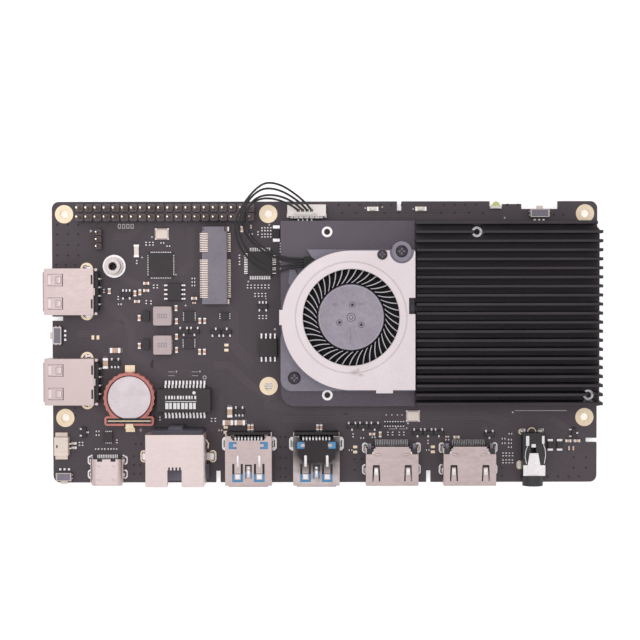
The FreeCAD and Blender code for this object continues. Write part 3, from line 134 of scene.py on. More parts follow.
def finish(name, dark, light, gloss, metal=0.0, grain=0.5, stretch=(1, 1, 1), bump=0.1, bump_size=0.08,
           patch=8.0, coat=0.0, edge=None):
    """A procedural finish: fine grain over broad patches of tint, uneven gloss and a fine relief.
    Tints are screen colours, 0 to 255. gloss is the lowest and highest roughness, and edge is a second
    pair of tints for upright faces."""
    made = bpy.data.materials.new(name)
    made.use_nodes = True
    tree = made.node_tree
    shader = tree.nodes["Principled BSDF"]
    coords = node(tree, "TexCoord").outputs["Object"]
    fine = noise(tree, coords, grain, stretch)
    broad = noise(tree, coords, patch, detail=2.0)
    mixed = calc(tree, "MULTIPLY_ADD", fine, 0.6, calc(tree, "MULTIPLY", broad, 0.4))
    tint = blend_colours(tree, ramp(tree, mixed, 0.0, 1.0, 0.35, 0.65), rgb(*dark), rgb(*light))
    if edge:
        normal = node(tree, "SeparateXYZ")
        tree.links.new(node(tree, "NewGeometry").outputs["Normal"], normal.inputs[0])
        upright = calc(tree, "ABSOLUTE", normal.outputs["Z"])
        side = blend_colours(tree, fine, rgb(*edge[0]), rgb(*edge[1]))
        tint = blend_colours(tree, ramp(tree, upright, 0.0, 1.0, 0.2, 0.6), side, tint)
    tree.links.new(tint, shader.inputs["Base Color"])
    tree.links.new(ramp(tree, fine, gloss[0], gloss[1]), shader.inputs["Roughness"])
    shader.inputs["Metallic"].default_value = metal
    shader.inputs["Coat Weight"].default_value = coat
    relief = node(tree, "Bump", Strength=bump, Distance=0.02 * MM)
    tree.links.new(noise(tree, coords, bump_size, stretch), relief.inputs["Height"])
    tree.links.new(relief.outputs["Normal"], shader.inputs["Normal"])
    return made


MASK = finish("solder_mask", (64, 55, 62), (80, 69, 77), (0.4, 0.58), patch=22, bump=0.25,
              edge=((40, 34, 32), (66, 56, 48)))
TRACE = finish("masked_trace", (78, 67, 73), (92, 81, 87), (0.4, 0.55), bump=0.1)
# This near-black is also used as painted shade in gaps, slots, pits, holes and hollows.
VIA_AND_SHADE = finish("masked_via_and_painted_shade", (24, 21, 24), (36, 32, 36), (0.45, 0.6))
SILK = finish("board_ink", (200, 192, 196), (226, 220, 222), (0.6, 0.8), bump=0.3)
GOLD = finish("gold_pad", (226, 205, 176), (242, 225, 200), (0.35, 0.5), metal=0.8, bump=0.3, bump_size=0.4)
PIN_GOLD = finish("gold_pin", (232, 212, 182), (250, 236, 212), (0.15, 0.25), metal=1.0)
PALE_GOLD = finish("pale_gold", (200, 184, 176), (226, 211, 203), (0.25, 0.4), metal=0.8)
PALE_TIN = finish("bright_tin", (226, 220, 222), (250, 246, 248), (0.28, 0.45), metal=0.7, bump=0.3,
                  bump_size=0.2)
TIN = finish("solder_tin", (208, 204, 206), (240, 238, 240), (0.22, 0.42), metal=0.9, bump=0.4,
             bump_size=0.15)
SHELL = finish("shell_steel", (187, 170, 170), (202, 186, 185), (0.32, 0.44), metal=0.9, grain=0.8,
               stretch=(0.5, 1, 1), bump=0.06, bump_size=0.3, patch=14)
BRIGHT_SHELL = finish("polished_shell", (188, 176, 176), (204, 192, 191), (0.24, 0.34), metal=0.95, grain=2.0,
                      bump=0.05, bump_size=0.6, patch=6)
JACK_SHELL = finish("jack_steel", (212, 196, 195), (225, 210, 209), (0.34, 0.46), metal=0.85, grain=0.8,
                    stretch=(0.5, 1, 1), bump=0.06, bump_size=0.3, patch=14)
COVER = finish("cover_steel", (216, 205, 209), (228, 218, 222), (0.38, 0.5), metal=0.6, grain=0.5,
               bump=0.06, bump_size=0.3, patch=9)
CELL = finish("cell_steel", (192, 182, 187), (217, 207, 212), (0.3, 0.5), metal=0.85, grain=0.35,
              bump=0.5, bump_size=0.5, patch=3)
BLACK = finish("black_plastic", (36, 35, 38), (54, 52, 56), (0.42, 0.58), bump=0.4)
DARK_GREY = finish("dark_grey_plastic", (72, 71, 82), (92, 90, 102), (0.45, 0.6), bump=0.4)
LILAC = finish("grey_plastic", (122, 116, 130), (138, 132, 145), (0.4, 0.55), bump=0.4, patch=5)
WHITE = finish("white_nylon", (230, 214, 203), (246, 232, 222), (0.4, 0.55), bump=0.3)
BLUE = finish("blue_plastic", (58, 134, 192), (92, 166, 218), (0.35, 0.5), bump=0.3)
SALMON = finish("salmon_plastic", (190, 114, 107), (212, 138, 130), (0.45, 0.6), bump=0.4, patch=4)
HOUSING = finish("blower_plastic", (121, 116, 130), (139, 134, 149), (0.4, 0.55), bump=0.4, patch=7)
HUB = finish("impeller_plastic", (146, 139, 153), (166, 159, 173), (0.38, 0.52), grain=0.8, bump=0.35,
             patch=5)
SINK = finish("black_anodised", (44, 39, 45), (56, 50, 57), (0.34, 0.46), metal=0.35, grain=1.5,
              stretch=(0.1, 1, 1), bump=0.15, bump_size=0.2, patch=20)
# The heatsink's bare plate: the same anodised metal, glossier, and in a lighter tint that is painted sheen.
SINK_PLATE_SHEEN = finish("anodised_plate_painted_sheen", (78, 71, 80), (90, 82, 92), (0.27, 0.35), metal=0.5, grain=0.4,
                    bump=0.1, bump_size=0.2, patch=16)
EPOXY = finish("chip_epoxy", (48, 43, 47), (62, 56, 60), (0.5, 0.66), bump=0.6, bump_size=0.12)
POWDER = finish("coil_powder", (186, 168, 170), (206, 188, 190), (0.5, 0.7), grain=0.3, bump=0.8,
                bump_size=0.2)
SLEEVE = finish("wire_sleeve", (26, 25, 27), (44, 42, 45), (0.3, 0.42), bump=0.2, bump_size=0.3)
RUBBER = finish("black_rubber", (30, 29, 31), (44, 43, 45), (0.6, 0.75), bump=0.3)
DARK_SCREW = finish("black_screw", (48, 45, 50), (74, 69, 75), (0.28, 0.4), metal=0.85)
STANDOFF = finish("standoff_tin", (176, 166, 166), (196, 187, 186), (0.28, 0.42), metal=0.9, bump=0.3,
                  bump_size=0.2)
HEADER = finish("header_plastic", (80, 71, 78), (103, 93, 100), (0.4, 0.55), bump=0.4, patch=5)
# Painted shade and painted highlight on the one-piece impeller: its blades' sides and lower parts are near
# black for the shade between the blades, and their tops pale for the light on them.
BLADE_SIDE_SHADE = finish("blade_side_painted_shade", (22, 20, 23), (34, 31, 35), (0.45, 0.6))
BLADE_EDGE_HIGHLIGHT = finish("blade_edge_painted_highlight", (188, 181, 192), (208, 202, 212), (0.4, 0.55))
CERAMIC = finish("cap_ceramic", (196, 156, 132), (226, 196, 172), (0.4, 0.55), patch=2.5)
PEACH = finish("cap_peach", (214, 160, 130), (236, 190, 160), (0.4, 0.55), patch=2.5)
RESISTOR = finish("resistor_glaze", (48, 42, 46), (78, 70, 74), (0.25, 0.4), patch=2.0)
CREAM = finish("crystal_lid", (240, 226, 214), (252, 242, 233), (0.35, 0.5), patch=3)
NYLON = finish("fan_plug_nylon", (243, 233, 229), (254, 249, 247), (0.35, 0.5), patch=3)
MARK = finish("module_ink", (240, 238, 240), (253, 252, 253), (0.6, 0.8), grain=0.3, bump=0.3)
LED = finish("led_resin", (232, 230, 220), (250, 248, 240), (0.2, 0.35), patch=1.5, coat=0.4)
LIME = finish("lime_resin", (200, 206, 130), (228, 230, 160), (0.15, 0.3), patch=1.5, coat=0.5)
COPPER = finish("copper_winding", (150, 78, 44), (196, 116, 70), (0.3, 0.45), metal=0.8, grain=0.3)
BRASS = finish("bearing_brass", (170, 132, 72), (200, 164, 100), (0.3, 0.4), metal=0.9)
COVER_LINE = finish("cover_line", (196, 188, 188), (212, 205, 204), (0.35, 0.5), metal=0.5)
HUB_LINE = finish("hub_line", (168, 163, 178), (190, 186, 200), (0.4, 0.55))
PAD = finish("thermal_pad", (120, 124, 132), (142, 146, 152), (0.7, 0.85), bump=0.5)


def paint_smudges_and_reflections(material, colour, strength, spots, ragged=0.7, fade=0.55):
    """Tints a finish towards a colour in soft ragged patches. Each is its middle x, y and its half sizes in
    mm, and it starts to fade at the share fade of them."""
    tree = material.node_tree
    socket = tree.nodes["Principled BSDF"].inputs["Base Color"]
    tint = socket.links[0].from_socket
    coords = node(tree, "TexCoord").outputs["Object"]
    for x, y, half_x, half_y in spots:
        mapping = node(tree, "Mapping", vector_type="TEXTURE")
        mapping.inputs["Location"].default_value = (x * MM, y * MM, 0.0)
        mapping.inputs["Scale"].default_value = (half_x * MM, half_y * MM, 1.0)
        tree.links.new(coords, mapping.inputs["Vector"])
        length = node(tree, "VectorMath", operation="LENGTH")
        tree.links.new(mapping.outputs["Vector"], length.inputs[0])
        rough = noise(tree, coords, min(half_x, half_y) * 0.6)
        uneven = calc(tree, "MULTIPLY_ADD", rough, ragged, length.outputs["Value"])
        share = ramp(tree, uneven, strength, 0.0, fade, 1.3)
        tint = blend_colours(tree, share, tint, rgb(*colour))
    tree.links.new(tint, socket)


# A painted reflection: the dark patch on the polished shell stands for something dark mirrored in it from
# above. The patches on the cover and the hub are smudges.
paint_smudges_and_reflections(BRIGHT_SHELL, (28, 26, 29), 0.94, [(-2.3, -36.4, 9.6, 9.4)], ragged=0.45, fade=0.78)
paint_smudges_and_reflections(COVER, (168, 154, 156), 0.6, [(9.2, -14.6, 0.6, 0.7), (9.9, -16.1, 1.1, 0.6), (8.3, -15.4, 1.6, 1.0)])
paint_smudges_and_reflections(HUB, (112, 106, 118), 0.55, [(3.0, 3.4, 1.2, 0.8), (7.1, -5.2, 0.3, 3.4), (9.9, 3.6, 1.4, 0.5)])

CAD_FINISH = {
    "circuit_board": MASK, "header_pins": PIN_GOLD, "port_contacts": PALE_TIN, "chip_leads": PALE_TIN,
    "m2_socket_contacts": PALE_GOLD, "m2_standoff": STANDOFF, "fan_rotor_magnet": BLACK, "fan_shaft": TIN,
    "fan_bearing": BRASS, "fan_stator": COPPER, "fan_screws": DARK_SCREW, "fan_wire_seal": RUBBER,
    "heatsink_bushes": TIN, "heatsink_screws": TIN, "thermal_pads": PAD, "processor": EPOXY,
    "memory_chips": EPOXY, "audio_jack_springs": PALE_TIN, "coin_cell_contacts": GOLD, "coin_cell": CELL,
    "usb2_cores": BLACK, "hdmi_cores": BLACK, "usb_c_core": BLACK, "usb3_cores": BLUE,
}
# The nodes shown as a copy with rounded edges: their finish and the rounding in mm.
SOFTENED = {
    "usb2_port_1_shell": (SHELL, 0.08), "usb2_port_2_shell": (SHELL, 0.08),
    "usb3_port_1_shell": (SHELL, 0.08), "usb3_port_2_shell": (BRIGHT_SHELL, 0.08),
    "hdmi_port_1_shell": (SHELL, 0.08), "hdmi_port_2_shell": (SHELL, 0.08), "usb_c_shell": (JACK_SHELL, 0.06),
    "network_jack_shell": (JACK_SHELL, 0.1), "network_jack_core": (DARK_GREY, 0.06),
    "audio_jack_body": (BLACK, 0.1), "heatsink": (SINK, 0.12, FINS_START), "fan_housing": (HOUSING, 0.12),
    "fan_cover": (COVER, 0.1), "fan_impeller": (HUB, 0.05), "m2_socket_body": (LILAC, 0.06),
    "fan_header": (NYLON, 0.12), "fan_plug": (NYLON, 0.1), "coin_cell_holder": (SALMON, 0.1),
    "power_header": (WHITE, 0.12), "button_frames": (DARK_GREY, 0.08), "left_button": (WHITE, 0.08),
    "corner_button": (WHITE, 0.08), "edge_button": (WHITE, 0.08),
}


# ---- building helpers ----------------------------------------------------------------------------
def add_object(name, data):
    obj = bpy.data.objects.new(name, data)
    bpy.context.collection.objects.link(obj)
    return obj


def dress(obj, material, body="board", bevel=0.0, segments=2, smooth=35.0):
    """Gives an object its finish and its body, and rounds its edges by bevel mm."""
    mesh = obj.data
    mesh.materials.clear()
    mesh.materials.append(material)
    mesh.polygons.foreach_set("use_smooth", [True] * len(mesh.polygons))
    mesh.set_sharp_from_angle(angle=math.radians(smooth))
    if bevel:
        rounding = obj.modifiers.new("rounding", "BEVEL")
        rounding.width = bevel * MM
        rounding.segments = segments
        rounding.limit_method = "ANGLE"
        rounding.angle_limit = math.radians(35)
        weights = obj.modifiers.new("weights", "WEIGHTED_NORMAL")
        weights.mode = "FACE_AREA"
        weights.keep_sharp = True
    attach(obj, body)
    return obj


def softened(cad_node, material, bevel, cut=None):
    """A copy of a CAD node with rounded edges, shown in its place. Its faces are divided at x = cut mm."""
    bm = bmesh.new()
    bm.from_mesh(NODES[cad_node].data)
    bmesh.ops.remove_doubles(bm, verts=bm.verts, dist=WELD)
    bmesh.ops.dissolve_limit(bm, angle_limit=math.radians(0.5), verts=bm.verts, edges=bm.edges)
    if cut:
        everything = bm.verts[:] + bm.edges[:] + bm.faces[:]
        bmesh.ops.bisect_plane(bm, geom=everything, dist=1e-6, plane_co=(cut * MM, 0, 0), plane_no=(1, 0, 0))
    mesh = bpy.data.meshes.new(cad_node + "_skin")
    bm.to_mesh(mesh)
    bm.free()
    obj = add_object(cad_node + "_skin", mesh)
    dress(obj, material, BODY[cad_node], bevel)
    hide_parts(cad_node)
    return obj


class Pile:
    """Many small solids gathered into one mesh. Sizes are in mm, and heights are above the board's top."""

    def __init__(self, x=0.0, y=0.0, turn=0.0):
        self.verts, self.faces = [], []
        self.place(x, y, turn)

    def place(self, x=0.0, y=0.0, turn=0.0):
        """What is added next is turned by so many degrees and moved to x, y."""
        self.x, self.y = x, y
        self.cos, self.sin = math.cos(math.radians(turn)), math.sin(math.radians(turn))

    def add(self, verts, faces):
        start = len(self.verts)
        for x, y, z in verts:
            world_x = self.x + x * self.cos - y * self.sin
            world_y = self.y + x * self.sin + y * self.cos
            self.verts.append((world_x * MM, world_y * MM, (TOP + z) * MM))
        self.faces += [[i + start for i in face] for face in faces]

    def loft(self, outlines):
        """A solid through outlines of x, y, z points, all with the same number of points."""
        n = len(outlines[0])
        faces = [list(range(n)), [n * (len(outlines) - 1) + i for i in range(n)]]
        for k in range(len(outlines) - 1):
            for i in range(n):
                j = (i + 1) % n
                faces.append([k * n + i, k * n + j, (k + 1) * n + j, (k + 1) * n + i])
        self.add([point for outline in outlines for point in outline], faces)

    def slab(self, outline, low, high):
        """A straight prism on an outline of x, y points."""
        self.loft([raised(outline, z) for z in (low, high)])

    def block(self, x0, x1, y0, y1, low, high):
        self.slab(rectangle(x0, x1, y0, y1), low, high)

    def bar(self, x, half, y0, y1, low, high):
        """A block centred on x."""
        self.block(x - half, x + half, y0, y1, low, high)

    def bump(self, x, foot, top):
        """A ramp centred on x: its foot and its top are each half width, y0, y1, z."""
        self.ramp(*[(x - half, x + half, y0, y1, z) for half, y0, y1, z in (foot, top)])

    def ramp(self, foot, top):
        """A solid from a foot rectangle to a top rectangle: each is x0, x1, y0, y1, z."""
        self.loft([raised(rectangle(*sides), z) for *sides, z in (foot, top)])

    def disc(self, x, y, radius, low, high, sides=20):
        self.slab(circle(x, y, radius, sides), low, high)

    def dome(self, x, y, radius, low, high, sides=20, flat_x=0.0, flat_y=0.0):
        """A rounded bump whose foot is a circle or an obround."""
        self.loft([raised(circle(x, y, radius * math.sqrt(1 - t * t), sides, flat_x, flat_y),
                          low + (high - low) * t) for t in (0.0, 0.35, 0.7, 0.95)])

    def washer(self, x, y, outer, inner, low, high, sides=32, flat_y=0.0):
        self.ring(circle(x, y, outer, sides, 0, flat_y), circle(x, y, inner, sides, 0, flat_y), low, high)

    def frame(self, x, y, half_x, half_y, width, low, high):
        """A flat rectangular frame whose four sides are as wide as each other."""
        outer = rectangle(x - half_x, x + half_x, y - half_y, y + half_y)
        half_x, half_y = half_x - width, half_y - width
        self.ring(outer, rectangle(x - half_x, x + half_x, y - half_y, y + half_y), low, high)

    def ring(self, outer, inner, low, high):
        """The solid between two outlines with the same number of points."""
        n = len(outer)
        verts = [point for outline in (outer, inner) for z in (low, high) for point in raised(outline, z)]
        faces = []
        for i in range(n):
            j = (i + 1) % n
            for a, b in ((0, n), (n, 3 * n), (3 * n, 2 * n), (2 * n, 0)):
                faces.append([a + i, a + j, b + j, b + i])
        self.add(verts, faces)

    def joint(self, x, y, pad, pin, long, flat_x=0.0, flat_y=0.0, steps=(0.0, 0.2, 0.5, 0.8, 1.0), sides=16):
        """A solder joint under the board: its slope is hollow, from the pad's radius to the pin's."""
        self.loft([raised(circle(x, y, pad + (pin - pad) * t ** 0.55, sides, flat_x, flat_y),
                          UNDER - long * t) for t in steps])

    def stroke(self, points, width, low, high):
        """A flat strip of even width along x, y points."""
        n = len(points)
        sides = beside(points, -width / 2) + beside(points, width / 2)
        verts = raised(sides, low) + raised(sides, high)
        m = 2 * n
        faces = []
        for i in range(n - 1):
            for a, b in ((0, n), (n, m + n), (m + n, m), (m, 0)):
                faces.append([a + i, a + i + 1, b + i + 1, b + i])
        faces += [[0, n, m + n, m], [n - 1, 2 * n - 1, m + 2 * n - 1, m + n - 1]]
        self.add(verts, faces)

    def make(self, name, material, slot, bevel=0.0, body="board", smooth=35.0, stands_for=None):
        """Turns the pile into one object, with every solid's faces looking outwards."""
        bm = bmesh.new()
        corners = [bm.verts.new(v) for v in self.verts]
        for face in self.faces:
            bm.faces.new([corners[i] for i in face])
        bmesh.ops.recalc_face_normals(bm, faces=bm.faces)
        mesh = bpy.data.meshes.new(name)
        bm.to_mesh(mesh)
        bm.free()
        obj = add_object(name, mesh)
        if stands_for:
            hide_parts(stands_for)
        return dress(obj, material, body, bevel, smooth=smooth)


def circle(x, y, radius, sides=32, flat_x=0.0, flat_y=0.0):
    """A circle, or with a flat length an obround: its two halves are moved apart."""
    points = []
    for i in range(sides):
        a = 2 * math.pi * (i + 0.5) / sides
        dx = math.copysign(flat_x / 2, math.cos(a))
        dy = math.copysign(flat_y / 2, math.sin(a))
        points.append((x + radius * math.cos(a) + dx, y + radius * math.sin(a) + dy))
    return points


def rectangle(x0, x1, y0, y1):
    return [(x0, y0), (x1, y0), (x1, y1), (x0, y1)]


def octagon(x0, x1, y0, y1, cut):
    """A rectangle whose corners are cut off."""
    return [(x0 + cut, y0), (x1 - cut, y0), (x1, y0 + cut), (x1, y1 - cut), (x1 - cut, y1), (x0 + cut, y1),
            (x0, y1 - cut), (x0, y0 + cut)]


def raised(outline, z):
    return [(x, y, z) for x, y in outline]


def beside(route, shift):
    """The points of a route moved sideways."""
    moved = []
    for i, (x, y) in enumerate(route):
        ax, ay = route[max(i - 1, 0)]
        bx, by = route[min(i + 1, len(route) - 1)]
        length = math.hypot(bx - ax, by - ay)
        moved.append((x - (by - ay) / length * shift, y + (bx - ax) / length * shift))
    return moved


def grid(across, up):
    return [(x, y) for x in across for y in up]


def solids_of(cad_node):
    """The corner points of each separate solid in a CAD node, in a pile's measures."""
    mesh = NODES[cad_node].data
    points = np.empty(len(mesh.vertices) * 3)
    mesh.vertices.foreach_get("co", points)
    points = points.reshape(-1, 3)
    _, same = np.unique(np.round(points / 2e-6).astype(np.int64), axis=0, return_inverse=True)
    same = same.ravel()
    parent = list(range(same.max() + 1))

    def top(i):
        while parent[i] != i:
            parent[i] = parent[parent[i]]
            i = parent[i]
        return i

    for edge in mesh.edges:
        a, b = top(same[edge.vertices[0]]), top(same[edge.vertices[1]])
        if a != b:
            parent[a] = b
    groups = {}
    for i, s in enumerate(same):
        groups.setdefault(top(s), []).append(i)
    solids = [points[group] / MM - (0.0, 0.0, TOP) for group in groups.values()]
    return sorted(solids, key=lambda solid: tuple(np.round(solid.min(0), 3)))


def box_of(cad_node):
    """A node's lowest and highest corners in mm, without the rounding noise of its mesh."""
    return [[round(v / MM, 4) for v in corner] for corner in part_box(cad_node)]


def middle_of(cad_node):
    low, high = box_of(cad_node)
    return ((low[0] + high[0]) / 2, (low[1] + high[1]) / 2)


def front_mouth(cad_node, lip=0.0):
    """The middle of a port's opening at the board's long edge, behind its flared lip."""
    return (middle_of(cad_node)[0], box_of(cad_node)[0][1] + lip)


def left_mouth(cad_node, lip=0.0):
    return (box_of(cad_node)[0][0] + lip, middle_of(cad_node)[1])


# ---- copper, ink and solder on the board ---------------------------------------------------------
LIP = 0.25                     # how far the flared front of a USB A shell reaches
HOLES = [(sx * 74.0, sy * 29.0) for sx in (-1, 1) for sy in (-1, 1)] + [(-16.0, 29.0), (-16.0, -20.0)]
USB2 = [left_mouth(f"usb2_port_{k}_shell", LIP) for k in (1, 2)]
USB3 = [front_mouth(f"usb3_port_{k}_shell", LIP) for k in (1, 2)]
HDMI = [front_mouth(f"hdmi_port_{k}_shell") for k in (1, 2)]
JACK = front_mouth("network_jack_shell")
USB_C = front_mouth("usb_c_shell")
AUDIO_X, AUDIO_Y = front_mouth("audio_jack_body")
AUDIO = (AUDIO_X - 0.2, AUDIO_Y)        # the barrel isn't quite in the middle of the socket's body
JUMPERS = [(-65.3, -6.05, 0), (-28.0, -9.0, 90), (-28.3, -32.45, 90), (8.65, -38.15, 90), (30.8, -38.15, 90)]
SKIN = 0.035                   # how far a pad stands above the board
INK = 0.03                     # the thickness of its printed marks
TRACK, VIA_CAP = 0.012, 0.014  # how far a masked track and the lacquer over a plated hole stand out
SEAT = 0.02                    # how deep a raised detail starts inside the part under it


def both_faces(pile, outer, inner):
    for low, high in ((0.0, SKIN), (UNDER - SKIN, UNDER)):
        pile.ring(outer, inner, low, high)


def gold_pads():
    pads = Pile()
    for x, y in HOLES:
        both_faces(pads, circle(x, y, 2.6, 48), circle(x, y, 1.2, 48))
        pads.washer(x, y, 1.2, 1.12, UNDER, 0.0, 48)
    for x, y in USB2:
        for side in (-1, 1):
            at = (x + 11.1, y + side * 6.4)
            both_faces(pads, circle(*at, 1.8, 40), circle(*at, 1.15, 40))
    for side in (-1, 1):
        at = (JACK[0] + side * 9.85, JACK[1] + 7.2)
        both_faces(pads, circle(*at, 1.0, 32, 0, 1.5), circle(*at, 0.6, 32, 0, 1.5))
    for x in (-2.95, 2.55):
        at = (AUDIO[0] + x, AUDIO[1] + 15.1)
        pads.washer(*at, 0.85, 0.45, 0.0, 0.3, 24)
    pads.washer(AUDIO[0], AUDIO[1] + 15.0, 1.3, 1.0, 0.0, 0.2, 32)
    at = (AUDIO[0] - 3.5, AUDIO[1] + 5.6)
    pads.washer(*at, 0.8, 0.45, 0.0, 0.32, 24, 0.9)
    for x, y, turn in JUMPERS:
        pads.place(x, y, turn)
        for side in (-1, 1):
            pads.bar(side * 0.72, 0.39, -0.59, 0.59, 0.0, 0.08)
    pads.make("gold_pads", GOLD, "gold_plating", 0.012)


def tinned_pads():
    """The oval solder rings round the shell legs of the ports."""
    pads, slits = Pile(), Pile()
    for x, y in USB3:
        for side in (-1, 1):
            both_faces(pads, circle(x + side * 6.75, y + 11.2, 1.05, 32, 0, 1.9),
                       circle(x + side * 6.4, y + 11.1, 0.45, 32, 0, 1.3))
            slits.bar(x + side * 7.2, 0.15, y + 10.2, y + 12.2, SKIN, SKIN + 0.02)
    for x, y in HDMI:
        for side in (-1, 1):
            for leg in (4.0, 10.2):
                at = (x + side * 7.53, y + leg)
                both_faces(pads, circle(*at, 0.85, 32, 0, 1.3), circle(*at, 0.5, 32, 0, 1.2))
                pads.ring(circle(*at, 0.7, 32, 0, 1.3), circle(*at, 0.5, 32, 0, 1.2), SKIN, 0.2)
    for side in (-1, 1):
        for leg in (3.0, 7.0):
            at = (USB_C[0] + side * 4.95, USB_C[1] + leg)
            hole = circle(at[0] - side * 0.1, at[1], 0.45, 32, 0, 0.9)
            both_faces(pads, circle(*at, 0.75, 32, 0, 1.1), hole)
            slits.bar(at[0] + side * 0.35, 0.08, at[1] - 0.6, at[1] + 0.6, SKIN, SKIN + 0.02)
        pads.dome(USB_C[0] + side * 4.55, USB_C[1] + 8.25, 0.45, 0.0, 0.3)
    pads.make("tinned_pads", TIN, "tin_plating", 0.012)
    slits.make("leg_slits", VIA_AND_SHADE, "board_laminate")


def tails_of(cad_node):
    """Where the legs of a CAD node come through under the board, and how thick they are."""
    tails = []
    for points in solids_of(cad_node):
        low = points[points[:, 2] < UNDER - 0.6]
        while len(low):
            near = np.hypot(low[:, 0] - low[0, 0], low[:, 1] - low[0, 1]) < 1.7
            group = low[near]
            low = low[~near]
            centre = (group.min(0) + group.max(0)) / 2
            size = group.max(0) - group.min(0)
            tails.append((centre[0], centre[1], size[0], size[1]))
    return tails


def solder_joints():
    """A cone of solder round each leg under the board: round for a pin, long for a shell's flat leg."""
    solder = Pile()
    shells = [cad_node for cad_node in SOFTENED if cad_node.endswith("_shell")]
    for cad_node in ["header_pins", "port_contacts"] + shells:
        for x, y, size_x, size_y in tails_of(cad_node):
            wide = max(size_x, size_y)
            if wide < 0.7:
                pad, pin = (0.85, 0.24) if cad_node == "header_pins" else (0.42, 0.16)
                solder.joint(x, y, pad, pin, 0.75)
            else:
                flat_x, flat_y = (size_x, 0.0) if size_x > size_y else (0.0, size_y)
                solder.joint(x, y, 0.75, 0.25, 0.7, flat_x, flat_y, (0.0, 0.25, 0.6, 1.0), 24)
    solder.make("solder_joints", TIN, "tin_plating", smooth=60)


INK_DOTS = [
    (-49.05, 22.5, 0.27), (-51.9, 16.7, 0.24), (-42.3, 11.8, 0.22), (-21.7, 9.8, 0.27), (-16.7, 4.9, 0.2),
    (-14.2, -3.8, 0.3), (-15.7, 25.9, 0.25), (53.6, -27.6, 0.25), (23.7, -30.7, 0.25), (17.5, -28.3, 0.2),
    (19.1, -28.3, 0.2), (20.7, -28.3, 0.2), (22.0, -28.3, 0.2), (-39.6, 3.0, 0.25), (51.2, 27.8, 0.25),
    (11.6, 30.6, 0.25), (16.4, 30.9, 0.22), (25.2, 30.3, 0.22), (-68.3, 0.5, 0.18),
]


def silk_marks():
    """Plain marks that say which way round a part goes. There's no lettering."""
    ink = Pile()
    ink.slab([(-66.7, 24.6), (-65.9, 24.25), (-66.7, 23.8)], 0.0, INK)
    for x, y, radius in INK_DOTS:
        ink.disc(x, y, radius, 0.0, INK, 16)
    for k in range(4):
        ink.frame(-58.3 + 1.2 * k, 25.55, 0.42, 0.65, 0.18, 0.0, INK)
    ink.block(-53.05, -51.95, -32.58, -32.42, 0.0, INK)
    ink.block(-52.58, -52.42, -33.05, -31.95, 0.0, INK)
    ink.washer(-34.25, -17.5, 0.55, 0.36, 0.0, INK, 24)
    ink.washer(-64.6, -17.2, 0.6, 0.42, 0.0, INK, 24)
    ink.block(54.2, 69.0, -27.2, -27.06, 0.0, INK)
    for x in (-43.5, -36.8):
        ink.stroke([(x - 1.1, -17.0), (x + 0.7, -17.0)], 0.12, 0.0, INK)
        ink.stroke([(x - 1.1, -15.9), (x + 0.7, -15.9)], 0.12, 0.0, INK)
        ink.slab([(x + 1.0, -15.6), (x + 1.5, -15.6), (x + 1.2, -16.2)], 0.0, INK)
    for x in (19.2, 22.2):
        ink.stroke([(x - 1.0, -32.3), (x + 0.7, -32.3)], 0.12, 0.0, INK)
        ink.slab([(x + 0.9, -31.9), (x + 1.4, -31.9), (x + 1.15, -32.5)], 0.0, INK)
    for x in (-8.0, 20.0, 44.0):
        ink.frame(x, -11.5, 5, 2.5, 0.15, UNDER - INK, UNDER)
    ink.make("board_ink", SILK, "board_laminate")


TRACES = [
    (5, 0.5, [(-63.0, 5.5), (-60.5, 2.0), (-55.0, -3.5), (-55.0, -11.0), (-48.0, -14.0)]),
    (6, 0.45, [(-49.5, -13.0), (-44.5, -16.5), (-38.0, -16.5)]),
    (4, 0.5, [(-58.0, 11.5), (-52.0, 8.0), (-49.0, 4.5)]),
    (6, 0.5, [(-29.0, 3.5), (-26.0, 0.5), (-26.0, -8.0), (-21.0, -14.0)]),
    (5, 0.45, [(-31.5, -14.0), (-27.0, -14.0), (-21.5, -19.5), (-14.0, -24.0)]),
    (4, 0.5, [(-70.5, -5.0), (-62.0, -5.0), (-57.5, -1.5)]),
    (5, 0.5, [(-17.5, -25.0), (-6.0, -27.0), (18.0, -27.0)]),
    (3, 0.7, [(-12.0, -29.5), (2.0, -29.5), (7.0, -28.5), (16.0, -28.5)]),
    (4, 0.6, [(27.5, -28.5), (45.0, -28.5), (52.0, -30.5)]),
    (3, 0.6, [(45.0, -31.5), (48.0, -35.0), (48.0, -44.0)]),
    (4, 0.5, [(-60.0, 22.5), (-56.0, 22.5), (-52.0, 26.0)]),
    (4, 0.5, [(-38.0, 25.5), (-38.0, 15.0), (-41.0, 12.0)]),
    (3, 0.5, [(3.0, 28.2), (30.0, 28.2), (44.0, 28.2)]),
    (4, 0.5, [(-68.0, -25.0), (-64.5, -28.5), (-56.5, -28.5)]),
    (3, 0.5, [(-29.5, -22.0), (-29.5, -33.0), (-30.5, -36.0)]),
    (3, 0.6, [(64.0, -29.0), (68.0, -31.5), (74.0, -34.5)]),
]


def bundle(pile, count, pitch, route, low, high):
    """Several tracks side by side along one route."""
    for k in range(count):
        pile.stroke(beside(route, (k - (count - 1) / 2) * pitch), 0.2, low, high)


